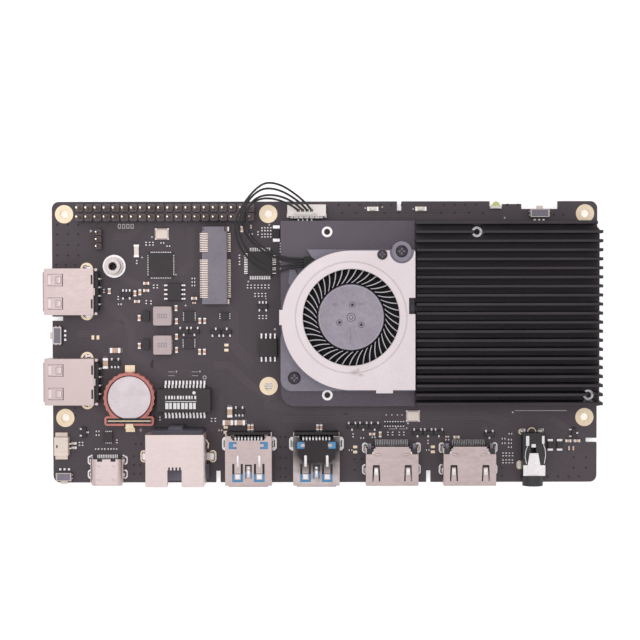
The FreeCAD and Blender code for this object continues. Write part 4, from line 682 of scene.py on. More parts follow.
def tracks_and_vias():
    tracks, vias = Pile(), Pile()
    for count, pitch, route in TRACES:
        bundle(tracks, count, pitch, route, 0.0, TRACK)
    for k in range(7):
        a, b = -60.0 + 17 * k, -40.0 + 14 * k
        route = [(a, 24.0), (a + 8, 16.0), (a + 8, 4.0), (b, -8.0), (b, -30.0)]
        bundle(tracks, 8, 0.6, route, UNDER - TRACK, UNDER)
    for k in range(4):
        y = 15.0 - 9 * k
        bundle(tracks, 6, 0.6, [(-68.0, y), (-40.0, y), (-20.0, y - 9), (16.0, y - 9)], UNDER - TRACK, UNDER)
    spots = grid((-76.0, -73.0, -70.0), (26.0, 23.3, 20.3, 17.3))
    spots += grid((-76.3, -73.6, -70.9, -68.2), (14.6, 13.6))
    spots += [(x, 31.5) for x in range(4, 58, 3) if x not in (13, 25, 28, 31, 46, 49)]
    spots += [(x, 29.2) for x in range(5, 46, 4) if x not in (13, 25, 29)]
    spots += grid((-12.7, -11.2), (-34.5, -37.5, -40.5, -43.5, -46.0))
    spots += grid((48.5, 50.5), (-43.5, -45.8)) + [(x, -46.0) for x in (56.0, 63.5, 66.5, 69.5, 72.5)]
    spots += grid((71.0, 74.5), (-40.5, -43.5)) + grid((8.5, 10.5), (-41.0, -44.0))
    spots += [(-71.2, -24.0 - 2.2 * k) for k in range(3)] + [(-54.0 + 1.6 * k, -36.5) for k in range(3)]
    spots += grid((-54.5, -52.7), (-40.0, -42.5, -45.0)) + [(60.0 + 2.6 * k, 28.6) for k in range(4)]
    for x, y in spots:
        vias.disc(x, y, 0.32, UNDER - VIA_CAP, VIA_CAP, 12)
    for k in range(14):
        for n in range(9):
            vias.disc(19.0 + k * 1.7, -4.4 + n * 1.7, 0.2, UNDER - VIA_CAP, UNDER, 10)
    tracks.make("masked_tracks", TRACE, "board_laminate")
    vias.make("masked_vias", VIA_AND_SHADE, "board_laminate")


gold_pads()
tinned_pads()
solder_joints()
silk_marks()
tracks_and_vias()


# ---- small parts: a body, plated ends and solder under them --------------------------------------
def two_ended(cad_node, name, finish_of, cap_share):
    """Every part of a node as a glazed body between two plated caps, with solder sloping up to each cap."""
    bodies = {}
    ends, solder = Pile(), Pile()
    for k, points in enumerate(solids_of(cad_node)):
        (x0, y0, z0), (x1, y1, z1) = points.min(0), points.max(0)
        along_x = x1 - x0 > y1 - y0
        cx, cy = (x0 + x1) / 2, (y0 + y1) / 2
        long, wide = (x1 - x0, y1 - y0) if along_x else (y1 - y0, x1 - x0)
        foot, rise = (0.0, z1 - z0) if z0 > -0.1 else (UNDER, z0 - z1)
        body = bodies.setdefault(finish_of(long, k), Pile())
        for pile in (body, ends, solder):
            pile.place(cx, cy, 0 if along_x else 90)
        cap = long * cap_share
        inset = min(0.05, wide * 0.06)
        across = wide / 2 - inset
        body.bar(0.0, long / 2 - 0.02, -across, across, foot + rise * 0.06, foot + rise * 0.94)
        for side in (-1, 1):
            a, b = sorted((side * long / 2, side * (long / 2 - cap)))
            ends.block(a, b, -wide / 2, wide / 2, foot, foot + rise)
            a, b = sorted((side * (long / 2 - 0.02), side * (long / 2 + wide * 0.36)))
            top = (a, a + 0.04) if side > 0 else (b - 0.04, b)
            solder.ramp((a, b, -wide / 2, wide / 2, foot),
                        (*top, -wide * 0.42, wide * 0.42, foot + rise * 0.55))
    for number, (material, body) in enumerate(bodies.items()):
        body.make(f"{name}_bodies_{number + 1}", material, SLOT[cad_node], 0.03, stands_for=cad_node)
    ends.make(name + "_ends", PALE_TIN, "tin_plating", 0.05)
    solder.make(name + "_solder", TIN, "tin_plating", 0.02)


two_ended("chip_capacitors", "capacitor", lambda long, k: CERAMIC if long > 2 or k % 3 else PEACH, 0.24)
two_ended("chip_resistors", "resistor", lambda long, k: RESISTOR, 0.27)


def crystal_cans():
    """A ceramic tray with plated corners, and a seam-welded lid smaller than the tray."""
    trays, lids, corners = Pile(), Pile(), Pile()
    for points in solids_of("crystals"):
        (x0, y0, z0), (x1, y1, z1) = points.min(0), points.max(0)
        if x1 - x0 < 2:
            lids.block(x0 + 0.1, x1 - 0.1, y0 + 0.55, y1 - 0.55, z0, z1)
            for low, high in ((y0, y0 + 0.6), (y1 - 0.6, y1)):
                corners.block(x0, x1, low, high, z0, z1 - 0.06)
            continue
        # Each corner of the tray has a notch, so its outline steps inwards there.
        a0, a1, b0, b1 = x0 + 0.55, x1 - 0.55, y0 + 0.33, y1 - 0.33
        trays.slab([(a0, y0), (a1, y0), (a1, b0), (x1, b0), (x1, b1), (a1, b1), (a1, y1), (a0, y1), (a0, b1),
                    (x0, b1), (x0, b0), (a0, b0)], z0, z1 - 0.2)
        lids.block(x0 + 0.35, x1 - 0.35, y0 + 0.35, y1 - 0.35, z1 - 0.2, z1 - 0.08)
        lids.block(x0 + 0.75, x1 - 0.75, y0 + 0.7, y1 - 0.7, z1 - 0.08, z1)
        for x in (x0, x1 - 0.5):
            for y in (y0, y1 - 0.5):
                corners.block(x, x + 0.5, y, y + 0.5, z0, z0 + 0.35)
    trays.make("crystal_trays", POWDER, "crystal_lid", 0.05)
    lids.make("crystal_lids", CREAM, "crystal_lid", 0.06, stands_for="crystals")
    corners.make("crystal_corners", PALE_TIN, "tin_plating", 0.03)


def coil_blocks():
    """Pressed powder coils: a chamfered block on a slightly wider foot, with plated ends."""
    blocks, ends, marks = Pile(), Pile(), Pile()
    for points in solids_of("power_inductors"):
        (x0, y0, z0), (x1, y1, z1) = points.min(0), points.max(0)
        blocks.loft([raised(octagon(x0 + inset, x1 - inset, y0 + inset, y1 - inset, 0.3), z)
                     for inset, z in ((0.0, z0), (0.0, z1 - 0.12), (0.1, z1))])
        for x in (x0 + 0.02, x1 - 0.02):
            ends.bar(x, 0.08, y0 + 1.3, y1 - 1.3, 0.0, z0 + 1.3)
        for k in (-1, 0, 1):
            cx, cy = (x0 + x1) / 2 + k * 0.95, (y0 + y1) / 2
            marks.frame(cx, cy, 0.34, 0.6, 0.14, z1 - 0.01, z1 + 0.012)
    blocks.make("coil_blocks", POWDER, "inductor_ferrite", 0.05, stands_for="power_inductors")
    marks.make("coil_marks", LILAC, "inductor_ferrite")
    ends.make("coil_ends", PALE_TIN, "tin_plating", 0.03)


def chip_bodies():
    """Moulded chips with a pin-1 dimple or dot."""
    dots = Pile()
    for points in solids_of("chips"):
        (x0, y0, z0), (x1, y1, z1) = points.min(0), points.max(0)
        size = min(x1 - x0, y1 - y0)
        if size > 1.8:
            at = (x0 + size * 0.16, y0 + size * 0.16)
            dots.washer(*at, size * 0.055, size * 0.045, z1 - 0.01, z1 + 0.012, 20)
    dots.make("chip_marks", TRACE, "chip_epoxy")
    softened("chips", EPOXY, 0.06)


def module_marks():
    """The network module: a pin-1 dot and rows of plain bars."""
    x, y = -39.8, -23.75
    high = 5.3
    marks = Pile()
    marks.disc(x + 2.9, y + 2.25, 0.45, high - 0.01, high + 0.015, 24)
    marks.block(x - 5.2, x + 3.6, y - 0.3, y - 0.12, high - 0.01, high + 0.015)
    for k in range(11):
        left = x - 5.2 + k * 0.82
        marks.block(left, left + (0.5 if k % 3 else 0.32), y + 0.45, y + 1.4, high - 0.01, high + 0.015)
    for k in range(8):
        left = x - 5.2 + k * 1.12
        marks.block(left, left + (0.72 if k % 2 else 0.88), y - 2.35, y - 0.6, high - 0.01, high + 0.015)
    marks.make("module_marks", MARK, "chip_epoxy")
    softened("network_transformer", EPOXY, 0.18)


def lamps():
    """Two side-firing lamps with plated ends and clear tops, and the edge lamp with its round lens."""
    cases, lenses, ends = Pile(), Pile(), Pile()
    for x in (13.7, 27.35):
        y = 30.35
        cases.bar(x, 1.15, y - 0.6, y + 0.6, 0.0, 0.55)
        lenses.bump(x, (0.85, y - 0.5, y + 0.5, 0.5), (0.65, y - 0.38, y + 0.38, 0.9))
        for side in (-1, 1):
            a, b = sorted((x + side * 1.1, x + side * 1.6))
            ends.block(a, b, y - 0.6, y + 0.6, 0.0, 0.5)
    x, y = 48.6, 30.9
    cases.bar(x, 1.6, y - 0.5, y + 0.25, 0.0, 1.05)
    lime = Pile(x, y)
    lime.slab(circle(0, 0.55, 1.0, 40)[:20] + [(-1.3, 0.55), (-1.3, 0.2), (1.3, 0.2), (1.3, 0.55)], 0.1, 1.0)
    for side in (-1, 1):
        a, b = sorted((x + side * 1.2, x + side * 1.65))
        ends.block(a, b, y - 0.55, y - 0.1, 0.0, 0.6)
    cases.make("lamp_cases", LED, "led_resin", 0.05, stands_for="status_leds")
    lenses.make("lamp_tops", CREAM, "led_resin", 0.05)
    lime.make("edge_lamp_lens", LIME, "led_resin", 0.06)
    ends.make("lamp_ends", PALE_TIN, "tin_plating", 0.03)


crystal_cans()
coil_blocks()
chip_bodies()
module_marks()
lamps()


# ---- pin headers ---------------------------------------------------------------------------------
def cell(pile, x, y, half, cut, low, high):
    """One pin's block of a header: its corners are cut and its top edge is sloped."""
    pile.loft([raised(octagon(x - h, x + h, y - h, y + h, cut), z)
               for h, z in ((half, low), (half, high - 0.25), (half - 0.12, high))])


def header_bodies():
    cells = Pile()
    x, y = middle_of("gpio_header_base")
    for k in range(20):
        for row in (-1.27, 1.27):
            cell(cells, x + (k - 9.5) * 2.54, y + row, 1.2, 0.42, 0.35, 2.54)
    cells.bar(x, 25.0, y - 2.2, y + 2.2, 0.0, 2.0)
    cells.make("gpio_header_cells", HEADER, "black_plastic", 0.04, stands_for="gpio_header_base")
    cells = Pile()
    x, y = middle_of("debug_header_base")
    for k in (-1, 0, 1):
        cell(cells, x, y + k * 2.0, 0.97, 0.32, 0.3, 2.0)
    cells.bar(x, 0.75, y - 2.75, y + 2.75, 0.0, 1.6)
    cells.make("debug_header_cells", HEADER, "black_plastic", 0.04, stands_for="debug_header_base")


header_bodies()


# ---- ports ---------------------------------------------------------------------------------------
def usb2_details():
    """Raised spring fingers, the rear hooks and the folded front lip of the two USB 2 ports."""
    folds, tips, shadows = Pile(), Pile(), Pile()
    high = 7.0
    for x, y in USB2:
        for pile in (folds, tips, shadows):
            pile.place(x, y, -90)
        for side in (-1, 1):
            at = side * 3.3
            # The finger tips are a paler steel than the shell: painted highlight.
            tips.bump(at, (1.45, 0.9, 2.2, high - SEAT), (1.3, 1.15, 1.95, high + 0.12))
            tips.bump(at, (1.15, 3.1, 5.0, high - SEAT), (0.8, 3.6, 4.75, high + 0.3))
            tips.block(at - 0.35, at - 0.2, 2.2, 3.1, high - SEAT, high + 0.07)
            tips.block(at + 0.2, at + 0.35, 2.2, 3.1, high - SEAT, high + 0.07)
            folds.bar(at, 1.65, 0.6, 5.1, high - 0.42, high - 0.27)
            # A dark block in the gap behind each finger: painted shade. The two at the rear darken the rear
            # slots.
            shadows.bar(at, 1.7, 5.15, 5.4, high - 0.3, high - 0.1)
            shadows.bar(side * 3.4, 1.3, 13.2, 13.7, high - 0.4, high - 0.06)
            folds.bar(side * 6.3, 0.25, 14.7, 15.0, 4.7, 6.6)
            folds.slab(circle(side * 6.15, 14.6, 0.4, 16), high - 0.5, high - 0.15)
        folds.bar(0.0, 1.0, 13.3, 14.3, high - 0.55, high - 0.3)
        folds.bar(0.0, 6.4, 0.35, 0.5, high - SEAT, high + 0.03)
    folds.make("usb2_folds", SHELL, "shell_steel", 0.06)
    tips.make("usb2_lit_finger_tips", JACK_SHELL, "shell_steel", 0.06)
    shadows.make("usb2_gap_shade", VIA_AND_SHADE, "black_plastic")


def usb3_details():
    """Spring fingers with ridges, the middle keyhole spring, and the window tabs of the USB 3 ports."""
    folds, shadows, tips = Pile(), Pile(), Pile()
    high = 7.0
    for x, y in USB3:
        for pile in (folds, shadows, tips):
            pile.place(x, y)
        for side in (-1, 1):
            at = side * 3.05
            # The ridges and finger tips, and the keyhole spring below, are a paler tin than the shell:
            # painted highlight.
            tips.dome(at, 7.0, 0.42, high - SEAT, high + 0.2, 20, 0, 2.6)
            tips.bump(at, (0.8, 1.75, 3.3, high - SEAT), (0.6, 2.0, 3.05, high + 0.16))
            # Dark blocks at the fingers' folds and in the gaps round them: painted shade.
            shadows.bar(at, 0.85, 3.4, 3.5, high - SEAT, high + 0.02)
            for gap in (-1, 1):
                shadows.bar(at + gap * 1.19, 0.3, 3.3, 6.2, high - 0.3, high - 0.12)
            tab = sorted((side * 3.2, side * 4.35))
            folds.block(*tab, 10.95, 11.85, high - 0.3, high - 0.05)
            folds.bar(side * 5.6, 0.75, 13.6, 14.0, high - 0.5, high - 0.3)
        tips.bump(0.0, (0.42, 2.5, 4.4, high - SEAT), (0.28, 2.8, 4.1, high + 0.14))
        tips.dome(0, 5.0, 0.4, high - SEAT, high + 0.12, 16)
        # Dark blocks in the gaps round the keyhole spring: painted shade.
        shadows.bar(0.0, 0.93, 5.62, 5.98, high - 0.3, high - 0.12)
        for gap in (-1, 1):
            shadows.bar(gap * 0.75, 0.19, 4.0, 5.7, high - 0.3, high - 0.12)
        # A dark block behind the shell, for the black rear of the core.
        shadows.bar(0.0, 6.2, 14.3, 14.95, 0.1, 5.6)
        folds.bar(0.0, 6.4, 0.35, 0.5, high - SEAT, high + 0.03)
    folds.make("usb3_folds", SHELL, "shell_steel", 0.06)
    tips.make("usb3_lit_finger_tips", PALE_TIN, "shell_steel", 0.08)
    shadows.make("usb3_gap_shade_and_core_rear", VIA_AND_SHADE, "black_plastic")


def hdmi_details():
    """Bent springs, stamped dimples, corner tabs and bright solder beside the rear of each port."""
    folds, shadows, tabs, bright = Pile(), Pile(), Pile(), Pile()
    high = 6.1
    for x, y in HDMI:
        for pile in (folds, shadows, tabs, bright):
            pile.place(x, y)
        for side in (-1, 1):
            at = side * 4.5
            bright.bump(at, (0.55, 3.0, 5.0, high - 0.04), (0.35, 3.3, 4.7, high + 0.12))
            # A dark block in the gap behind each spring: painted shade.
            shadows.bar(at, 0.9, 5.2, 5.85, high - 0.3, high - 0.08)
            folds.dome(side * 4.0, 8.8, 0.42, high - SEAT, high + 0.16, 20, 1.0, 0)
            wedge = [(side * 5.3 - 0.5, 9.0), (side * 5.3 + 0.5, 9.0), (side * 5.3, 9.9)]
            bright.slab(wedge, high - 0.5, high - 0.25)
            tabs.bar(side * 6.3, 0.75, 9.1, 10.4, high - 1.3, high - 0.9)
            tabs.bar(side * 6.3, 0.45, 10.3, 11.9, high - 2.2, high - 1.6)
        folds.bar(0.0, 7.2, 0.25, 0.42, high - SEAT, high + 0.03)
    folds.make("hdmi_folds", SHELL, "shell_steel", 0.06)
    bright.make("hdmi_springs", PALE_TIN, "shell_steel", 0.06)
    shadows.make("hdmi_gap_shade", VIA_AND_SHADE, "black_plastic")
    tabs.make("hdmi_tabs", LILAC, "black_plastic", 0.08)


def usb_c_details():
    """The pressed dimples, side walls, rear slots and folded front lip of the USB C socket."""
    folds, shadows = Pile(*USB_C), Pile(*USB_C)
    high = 3.16
    for side in (-1, 1):
        at = side * 2.1
        for front, back in ((5.3, 6.1), (1.5, 2.3)):
            folds.bump(at, (0.48, front, back, high - SEAT), (0.32, front + 0.2, back - 0.15, high + 0.06))
        wall = sorted((side * 4.44, side * 4.62))
        folds.block(*wall, 0.8, 7.4, 0.3, 2.3)
        # Dark blocks in the rear slots: painted shade.
        shadows.bar(side * 1.9, 0.7, 6.9, 7.62, high - 0.2, high + 0.01)
    folds.bar(0.0, 4.2, 0.2, 0.34, high - SEAT, high + 0.03)
    folds.make("usb_c_folds", JACK_SHELL, "shell_steel", 0.05)
    shadows.make("usb_c_slot_shade", VIA_AND_SHADE, "black_plastic")


def network_jack_details():
    """The gold spring edge and comb of the shield, the key block on its right and the pale side tabs."""
    gold, block, bright, comb = Pile(*JACK), Pile(*JACK), Pile(*JACK), Pile(*JACK)
    high = 13.3
    gold.bar(0.0, 7.9, 14.45, 14.6, high - 1.6, high - 0.25)
    gold.stroke([(8.2, 12.4), (8.9, 11.2), (8.7, 9.9)], 0.35, 4.0, 4.5)
    for side in (-1, 1):
        bright.bar(side * 9.6, 0.6, 6.35, 8.05, 0.8, 1.0)
    bright.block(8.1, 8.25, 0.3, 14.0, 11.6, 12.9)
    block.block(7.45, 8.95, 1.0, 5.3, 0.0, 3.0)
    for tooth in (-1.5, -0.5, 0.5, 1.5):
        comb.bar(tooth, 0.24, 4.6, 5.55, high - 0.2, high + 0.015)
    comb.make("network_jack_comb", VIA_AND_SHADE, "dark_grey_plastic")
    gold.make("network_jack_springs", PIN_GOLD, "gold_plating", 0.03)
    block.make("network_jack_key", DARK_GREY, "dark_grey_plastic", 0.1)
    bright.make("network_jack_tabs", PALE_TIN, "shell_steel", 0.04)


def audio_details():
    """Contact springs bent round the barrel."""
    springs = Pile(*AUDIO)
    for side, top in ((-1, 11.5), (1, 12.1)):
        centre = -1.7 if side < 0 else 2.7
        springs.stroke([(centre, top), (centre + side * 0.55, top - 1.6), (centre + side * 0.7, top - 3.3),
                        (centre + side * 0.3, 6.4)], 0.18, 4.6, 4.85)
    springs.make("audio_springs", PALE_TIN, "shell_steel", 0.03)


usb2_details()
usb3_details()
hdmi_details()
usb_c_details()
network_jack_details()
audio_details()


# ---- blower, heatsink and sockets ----------------------------------------------------------------
FAN = middle_of("fan_shaft")
EAR = (21.35, 18.2)            # the screw in the blower's ear


def blower_details():
    """The pressed rings of the cover, the mould marks of the housing, and the hub's rings and pits. Dark
    fills in the pits, dark rings round them and round the middle, and a dark ring under the blades are
    painted shade.
    """
    cover, housing, hub, pits, grooves = Pile(), Pile(), Pile(), Pile(), Pile()
    cover_top = 12.7
    cover.washer(*FAN, 15.52, 15.38, cover_top - 0.09, cover_top - 0.05, 96)
    cover.washer(*FAN, 13.62, 13.42, cover_top - 0.2, cover_top + 0.04, 96)
    cover.make("cover_rings", COVER_LINE, "cover_steel")
    for x, y in ((-10.8, -14.1), (-5.5, -18.9)):
        housing.washer(x, y, 1.28, 1.12, 8.48, 8.54, 32)
    for radius in (2.6, 2.1):
        housing.washer(*EAR, radius, radius - 0.15, cover_top - SEAT, cover_top + 0.05, 48)
    housing.make("housing_rings", HUB, "fan_grey_plastic", 0.02)
    hub_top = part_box("fan_impeller")[1][2] / MM - TOP
    hub.washer(*FAN, 1.0, 0.7, hub_top - SEAT, hub_top + 0.08, 32)
    hub.dome(*FAN, 0.4, hub_top - SEAT, hub_top + 0.1, 20)
    # A dark ring in the groove round the middle: painted shade.
    grooves.washer(*FAN, 1.22, 1.04, hub_top - SEAT, hub_top + 0.012, 40)
    hub.washer(*FAN, 8.95, 8.75, hub_top - SEAT, hub_top + 0.04, 96)
    for angle in (84, 204, 324):
        x = FAN[0] + 3.55 * math.cos(math.radians(angle))
        y = FAN[1] + 3.55 * math.sin(math.radians(angle))
        # A dark ring round each pit and a dark fill in it: painted shade.
        grooves.washer(x, y, 0.85, 0.68, hub_top - SEAT, hub_top + 0.012, 32)
        pits.disc(x, y, 0.36, hub_top - 0.3, hub_top + 0.012, 20)
    # A dark ring under the blades: painted shade.
    pits.washer(*FAN, 15.5, 9.3, 6.56, 6.62, 96)
    hub.make("hub_rings", HUB_LINE, "impeller_plastic", 0.02, body="fan_rotor")
    grooves.make("hub_groove_shade", DARK_GREY, "impeller_plastic", body="fan_rotor")
    pits.make("hub_pit_shade", VIA_AND_SHADE, "impeller_plastic", body="fan_rotor")


def bush_details():
    """A bright washer on each heatsink bush, and a dark disc in the hollow inside it, which is painted shade.
    """
    washers, hollow_shade = Pile(), Pile()
    for x, y in ((0.7, 23.75), (0.7, -22.2), (42.8, 23.7), (74.2, -22.25)):
        top = 5.35
        washers.washer(x, y, 1.5, 0.95, top - SEAT, top + 0.06, 40)
        # A dark disc in the bush's hollow: painted shade.
        hollow_shade.disc(x, y, 0.84, top - 3.0, top - 0.35, 32)
    washers.make("bush_washers", PALE_TIN, "tin_plating", 0.03)
    hollow_shade.make("bush_hollow_shade", VIA_AND_SHADE, "tin_plating")


def standoff_details():
    """The thread's turns at the top of the card's post, and the solder ring round its foot."""
    x, y = -59.8, 14.2
    steps = Pile()
    for k in range(4):
        steps.washer(x, y, 1.22 - k * 0.03, 1.0, 4.16 - k * 0.05, 4.2 - k * 0.05)
    steps.washer(x, y, 3.25, 2.6, 0.0, 0.52, 48)
    steps.make("standoff_rings", PALE_TIN, "tin_plating", 0.04)


def screw_details():
    """A paler cross in each of the blower's screws, a painted highlight in its recess, with a dark point at
    its middle, painted shade.
    """
    lit_crosses, points = Pile(), Pile()
    for x, y, radius, top in ((-8.57, -17.16, 1.65, 9.1), (*EAR, 1.6, 12.9), (15.95, 17.3, 1.4, 13.4)):
        long, thin = radius * 0.61, radius * 0.15
        # Paler crosses in the recesses: painted highlight. Dark points at their middles: painted shade.
        lit_crosses.bar(x, long, y - thin, y + thin, top - 0.44, top - 0.16)
        lit_crosses.bar(x, thin, y - long, y + long, top - 0.44, top - 0.16)
        points.disc(x, y, radius * 0.2, top - 0.4, top - 0.13, 12)
    lit_crosses.make("screw_crosses", LILAC, "black_screws", 0.02)
    points.make("screw_point_shade", VIA_AND_SHADE, "black_screws")


def socket_details():
    """Dark wire holes in the fan plug, ribs on its socket, and dark strips beside the coin holder's gold
    strip. The dark in the wire holes is painted shade, and the strips are painted shadow.
    """
    holes, feet = Pile(), Pile()
    for x in (-7.43, -6.18, -4.93, -3.68):
        # Dark fills in the wire holes: painted shade.
        holes.bar(x, 0.42, 29.45, 30.15, 5.0, 5.215)
        feet.bar(x, 0.22, 26.85, 27.7, 0.0, 0.4)
    for k in range(6):
        x = -5.06 + (k - 2.5) * 1.5
        holes.bar(x, 0.1, 27.58, 28.1, 2.2, 3.32)
    for x in (-10.3, 0.18):
        feet.bar(x, 0.4, 27.9, 29.0, 0.0, 0.5)
    x, y = middle_of("coin_cell")
    # Dark strips beside the coin holder's gold strip: painted shadow.
    for front, back in ((-7.28, -6.8), (-6.35, -5.76)):
        holes.bar(x, 6.4, y + front, y + back, 0.52, 3.415)
    holes.make("socket_dark_marks_and_shade", VIA_AND_SHADE, "black_plastic")
    feet.make("fan_header_feet", PALE_TIN, "tin_plating", 0.04)


def power_header_details():
    """The latch window, the seam lines beside the wings and the tinned pads of the power socket. The window
    and the seam lines are dark painted shade.
    """
    at = left_mouth("power_header")
    seam_shade, pads, rims = Pile(*at), Pile(*at), Pile(*at)
    # Dark blocks in the latch window and along the seam lines: painted shade.
    seam_shade.block(0.6, 1.0, -0.4, 0.5, 3.1, 3.315)
    for side in (-1, 1):
        seam_shade.block(0.2, 3.4, side * 2.63 - 0.05, side * 2.63 + 0.05, 1.5, 1.63)
        rims.block(2.0, 3.7, side * 1.6 - 0.2, side * 1.6 + 0.2, 3.25, 3.42)
        pads.block(4.4, 5.9, side * 0.625 - 0.35, side * 0.625 + 0.35, 0.0, 0.1)
        pads.dome(5.0, side * 0.625, 0.3, 0.0, 0.42, 16, 0.6, 0)
    seam_shade.make("power_header_seams", RESISTOR, "white_plastic")
    rims.make("power_header_rims", WHITE, "white_plastic", 0.05)
    pads.make("power_header_pads", PALE_TIN, "tin_plating", 0.02)


def button_details():
    """The steel cover round each button's frame and the grey panel on top."""
    covers, panels = Pile(), Pile()
    for x, y, turn, wide in ((-77.1, -5.45, -90, 5.0), (-74.3, -46.9, 0, 4.4), (60.97, 30.3, 180, 5.4)):
        covers.place(x, y, turn)
        panels.place(x, y, turn)
        half, high = wide / 2, 1.9
        covers.ring(rectangle(-half + 0.02, half - 0.02, 0.02, 2.38),
                    rectangle(-half + 0.4, half - 0.4, 0.3, 2.1), high - SEAT, high + 0.07)
        panels.block(-half + 0.42, half - 0.42, 0.32, 2.08, high - SEAT, high + 0.04)
        for side in (-1, 1):
            leg = side * (half + 0.12)
            covers.bar(leg, 0.12, 0.5, 1.0, 0.0, 1.2)
            covers.bar(leg, 0.12, 1.5, 2.0, 0.0, 1.2)
    covers.make("button_covers", STANDOFF, "shell_steel", 0.03)
    panels.make("button_panels", LILAC, "black_plastic", 0.03)


blower_details()
bush_details()
standoff_details()
screw_details()
socket_details()
power_header_details()
button_details()


# ---- finish the CAD nodes ------------------------------------------------------------------------
for cad_node, material in CAD_FINISH.items():
    mesh = NODES[cad_node].data
    mesh.materials.clear()
    mesh.materials.append(material)

skins = {cad_node: softened(cad_node, *looks) for cad_node, looks in SOFTENED.items()}


def part_finish(obj, material, chosen):
    """Gives another finish to the faces that chosen(x, y, z, normal) picks.
    x, y, z is a face's middle in a pile's measures."""
    obj.data.materials.append(material)
    number = len(obj.data.materials) - 1
    for face in obj.data.polygons:
        x, y, z = (v / MM for v in face.center)
        if chosen(x, y, z - TOP, face.normal):
            face.material_index = number


def from_axis(x, y):
    return math.hypot(x - FAN[0], y - FAN[1])


part_finish(skins["network_jack_core"], LILAC,
            lambda x, y, z, normal: normal.z > 0.5 and z < 2.5 and y < JACK[1] + 11.5)
# The bare plate's lighter tint is painted sheen.
part_finish(skins["heatsink"], SINK_PLATE_SHEEN, lambda x, y, z, normal: x < FINS_START)
# Painted shade on the blades' sides and lower parts, and a painted highlight on their tops.
part_finish(skins["fan_impeller"], BLADE_SIDE_SHADE, lambda x, y, z, normal: from_axis(x, y) > 9.25 or z < 7.0)
part_finish(skins["fan_impeller"], BLADE_EDGE_HIGHLIGHT,
            lambda x, y, z, normal: from_axis(x, y) > 9.25 and z > 11.3 and normal.z > 0.5)


# ---- wires ---------------------------------------------------------------------------------------
# The wires' routes in mm, with heights measured from the CAD's own origin.
PLUG_TOP, WIRE_END = TOP + 5.2, TOP + 9.0
WIRES = {
    "fan_wire_1": [(-7.43, 29.8, PLUG_TOP), (-7.43, 29.8, 9.0), (-9.1, 31.0, 11.0), (-11.8, 32.2, 12.4),
                   (-14.9, 33.0, 13.3), (-18.1, 32.8, 13.6), (-20.9, 31.2, 13.6), (-22.5, 28.3, 13.4),
                   (-22.7, 25.0, 13.0), (-21.2, 22.0, 12.4), (-18.7, 19.4, 11.8), (-15.6, 17.3, 11.2),
                   (-12.2, 15.9, 10.8), (-8.8, 15.45, WIRE_END), (-5.7, 15.45, WIRE_END)],
    "fan_wire_2": [(-6.18, 29.8, PLUG_TOP), (-6.18, 29.8, 9.1), (-7.8, 31.3, 11.4), (-10.7, 33.0, 13.3),
                   (-14.2, 33.9, 14.4), (-17.7, 33.6, 14.8), (-20.3, 31.9, 14.8), (-21.5, 28.9, 14.5),
                   (-21.6, 25.5, 14.0), (-20.3, 22.4, 13.3), (-17.8, 19.8, 12.6), (-14.8, 17.8, 11.9),
                   (-11.7, 16.6, 11.3), (-8.8, 16.2, WIRE_END), (-5.7, 16.2, WIRE_END)],
    "fan_wire_3": [(-4.93, 29.8, PLUG_TOP), (-4.93, 29.8, 9.2), (-6.6, 31.6, 11.7), (-9.8, 33.9, 14.0),
                   (-13.5, 35.5, 15.2), (-17.1, 35.6, 15.6), (-20.0, 33.6, 15.6), (-22.1, 30.6, 15.3),
                   (-23.5, 27.4, 14.6), (-23.8, 24.0, 13.8), (-22.9, 20.7, 12.9), (-20.9, 17.7, 12.0),
                   (-18.0, 15.3, 11.3), (-14.8, 14.0, 10.9), (-11.5, 14.1, 10.7), (-8.6, 14.7, WIRE_END),
                   (-5.7, 14.7, WIRE_END)],
    "fan_wire_4": [(-3.68, 29.8, PLUG_TOP), (-3.68, 29.8, 9.3), (-5.2, 31.7, 12.1), (-8.5, 34.4, 14.7),
                   (-12.3, 36.7, 16.0), (-16.2, 37.3, 16.4), (-19.3, 35.2, 16.4), (-21.8, 32.1, 16.0),
                   (-23.9, 28.9, 15.2), (-24.9, 25.3, 14.2), (-24.5, 21.6, 13.0), (-22.8, 18.0, 11.9),
                   (-20.1, 14.9, 11.0), (-16.7, 12.9, 10.5), (-12.9, 12.5, 10.3), (-9.2, 13.95, WIRE_END),
                   (-5.7, 13.95, WIRE_END)],
}


def wires():
    for name, route in WIRES.items():
        curve = bpy.data.curves.new(name + "_sleeve", "CURVE")
        curve.dimensions = "3D"
        spline = curve.splines.new("NURBS")
        spline.points.add(len(route) - 1)
        for point, (x, y, z) in zip(spline.points, route):
            point.co = (x * MM, y * MM, z * MM, 1.0)
        spline.order_u = 3
        spline.use_endpoint_u = True
        spline.resolution_u = 16
        curve.bevel_depth = 0.3 * MM
        curve.bevel_resolution = 5
        curve.use_fill_caps = True
        curve.materials.append(SLEEVE)
        obj = add_object(name + "_sleeve", curve)
        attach(obj, "board")
        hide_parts(name)


wires()


# ---- floor, light and camera ---------------------------------------------------------------------
# The camera's place in mm, from the origin and the board's top, its turn in degrees and its lens in mm.
CAMERA_AT = (-1.18, 13.35, 480.47)
CAMERA_TURN = (-1.733, 0.016, -0.097)
CAMERA_LENS = 94.98
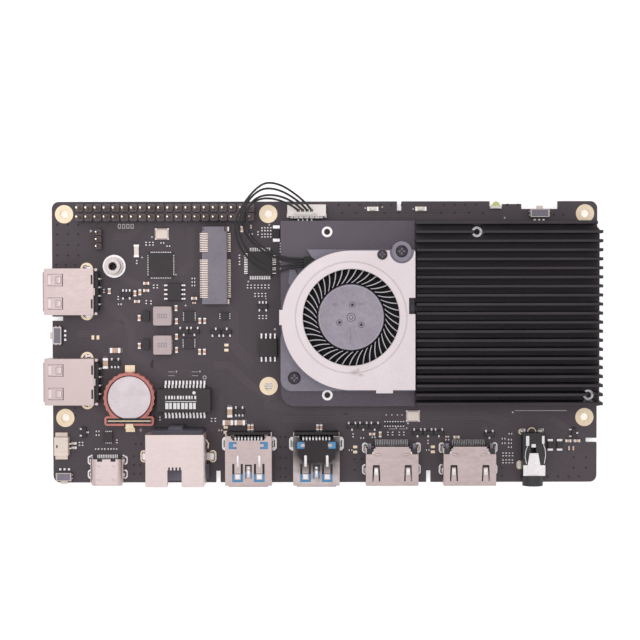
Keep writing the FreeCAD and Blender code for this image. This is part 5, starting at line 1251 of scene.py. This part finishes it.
# Soft lamps aimed at the object: where each hangs and its size in metres, and its power in watts.
LAMPS = (("key", (-0.2, 0.2, 1.25), 0.5, 1.8), ("fill", (0.9, -0.7, 1.1), 1.6, 1.5))
FLOOR_SIZE = 3.0               # half the paper's width in metres


def studio():
    scene = bpy.context.scene
    scene.view_settings.view_transform = "Standard"
    scene.view_settings.look = "None"
    world = bpy.data.worlds.new("studio")
    scene.world = world
    world.use_nodes = True
    sky = world.node_tree.nodes["Background"]
    sky.inputs["Color"].default_value = (1.0, 0.985, 0.98, 1.0)
    sky.inputs["Strength"].default_value = 0.8

    mesh = bpy.data.meshes.new("floor")
    corners = raised(rectangle(-FLOOR_SIZE, FLOOR_SIZE, -FLOOR_SIZE, FLOOR_SIZE), FLOOR - 0.00002)
    mesh.from_pydata(corners, [], [[0, 1, 2, 3]])
    floor = add_object("floor", mesh)
    paper = finish("paper_floor", (244, 243, 244), (250, 249, 250), (0.7, 0.85), patch=60)
    shader = paper.node_tree.nodes["Principled BSDF"]
    shader.inputs["Emission Color"].default_value = (1.0, 0.99, 0.99, 1.0)
    shader.inputs["Emission Strength"].default_value = 0.5
    # From underneath the paper is clear, so that it doesn't hide the object's underside.
    tree = paper.node_tree
    clear = node(tree, "BsdfTransparent")
    either = node(tree, "MixShader")
    tree.links.new(node(tree, "NewGeometry").outputs["Backfacing"], either.inputs[0])
    tree.links.new(shader.outputs[0], either.inputs[1])
    tree.links.new(clear.outputs[0], either.inputs[2])
    tree.links.new(either.outputs[0], tree.nodes["Material Output"].inputs["Surface"])
    mesh.materials.append(paper)

    for name, at, size, power in LAMPS:
        light = bpy.data.lights.new(name, "AREA")
        light.size = size
        light.energy = power
        lamp = add_object(name, light)
        lamp.location = at
        lamp.rotation_euler = (-Vector(at)).to_track_quat("-Z", "Y").to_euler()

    lens = bpy.data.cameras.new("camera")
    lens.lens = CAMERA_LENS
    lens.sensor_width = 36.0
    lens.clip_start, lens.clip_end = 0.01, 10.0
    camera = add_object("camera", lens)
    camera.location = Vector((*CAMERA_AT[:2], CAMERA_AT[2] + TOP)) * MM
    camera.rotation_euler = [math.radians(v) for v in CAMERA_TURN]
    scene.camera = camera


studio()
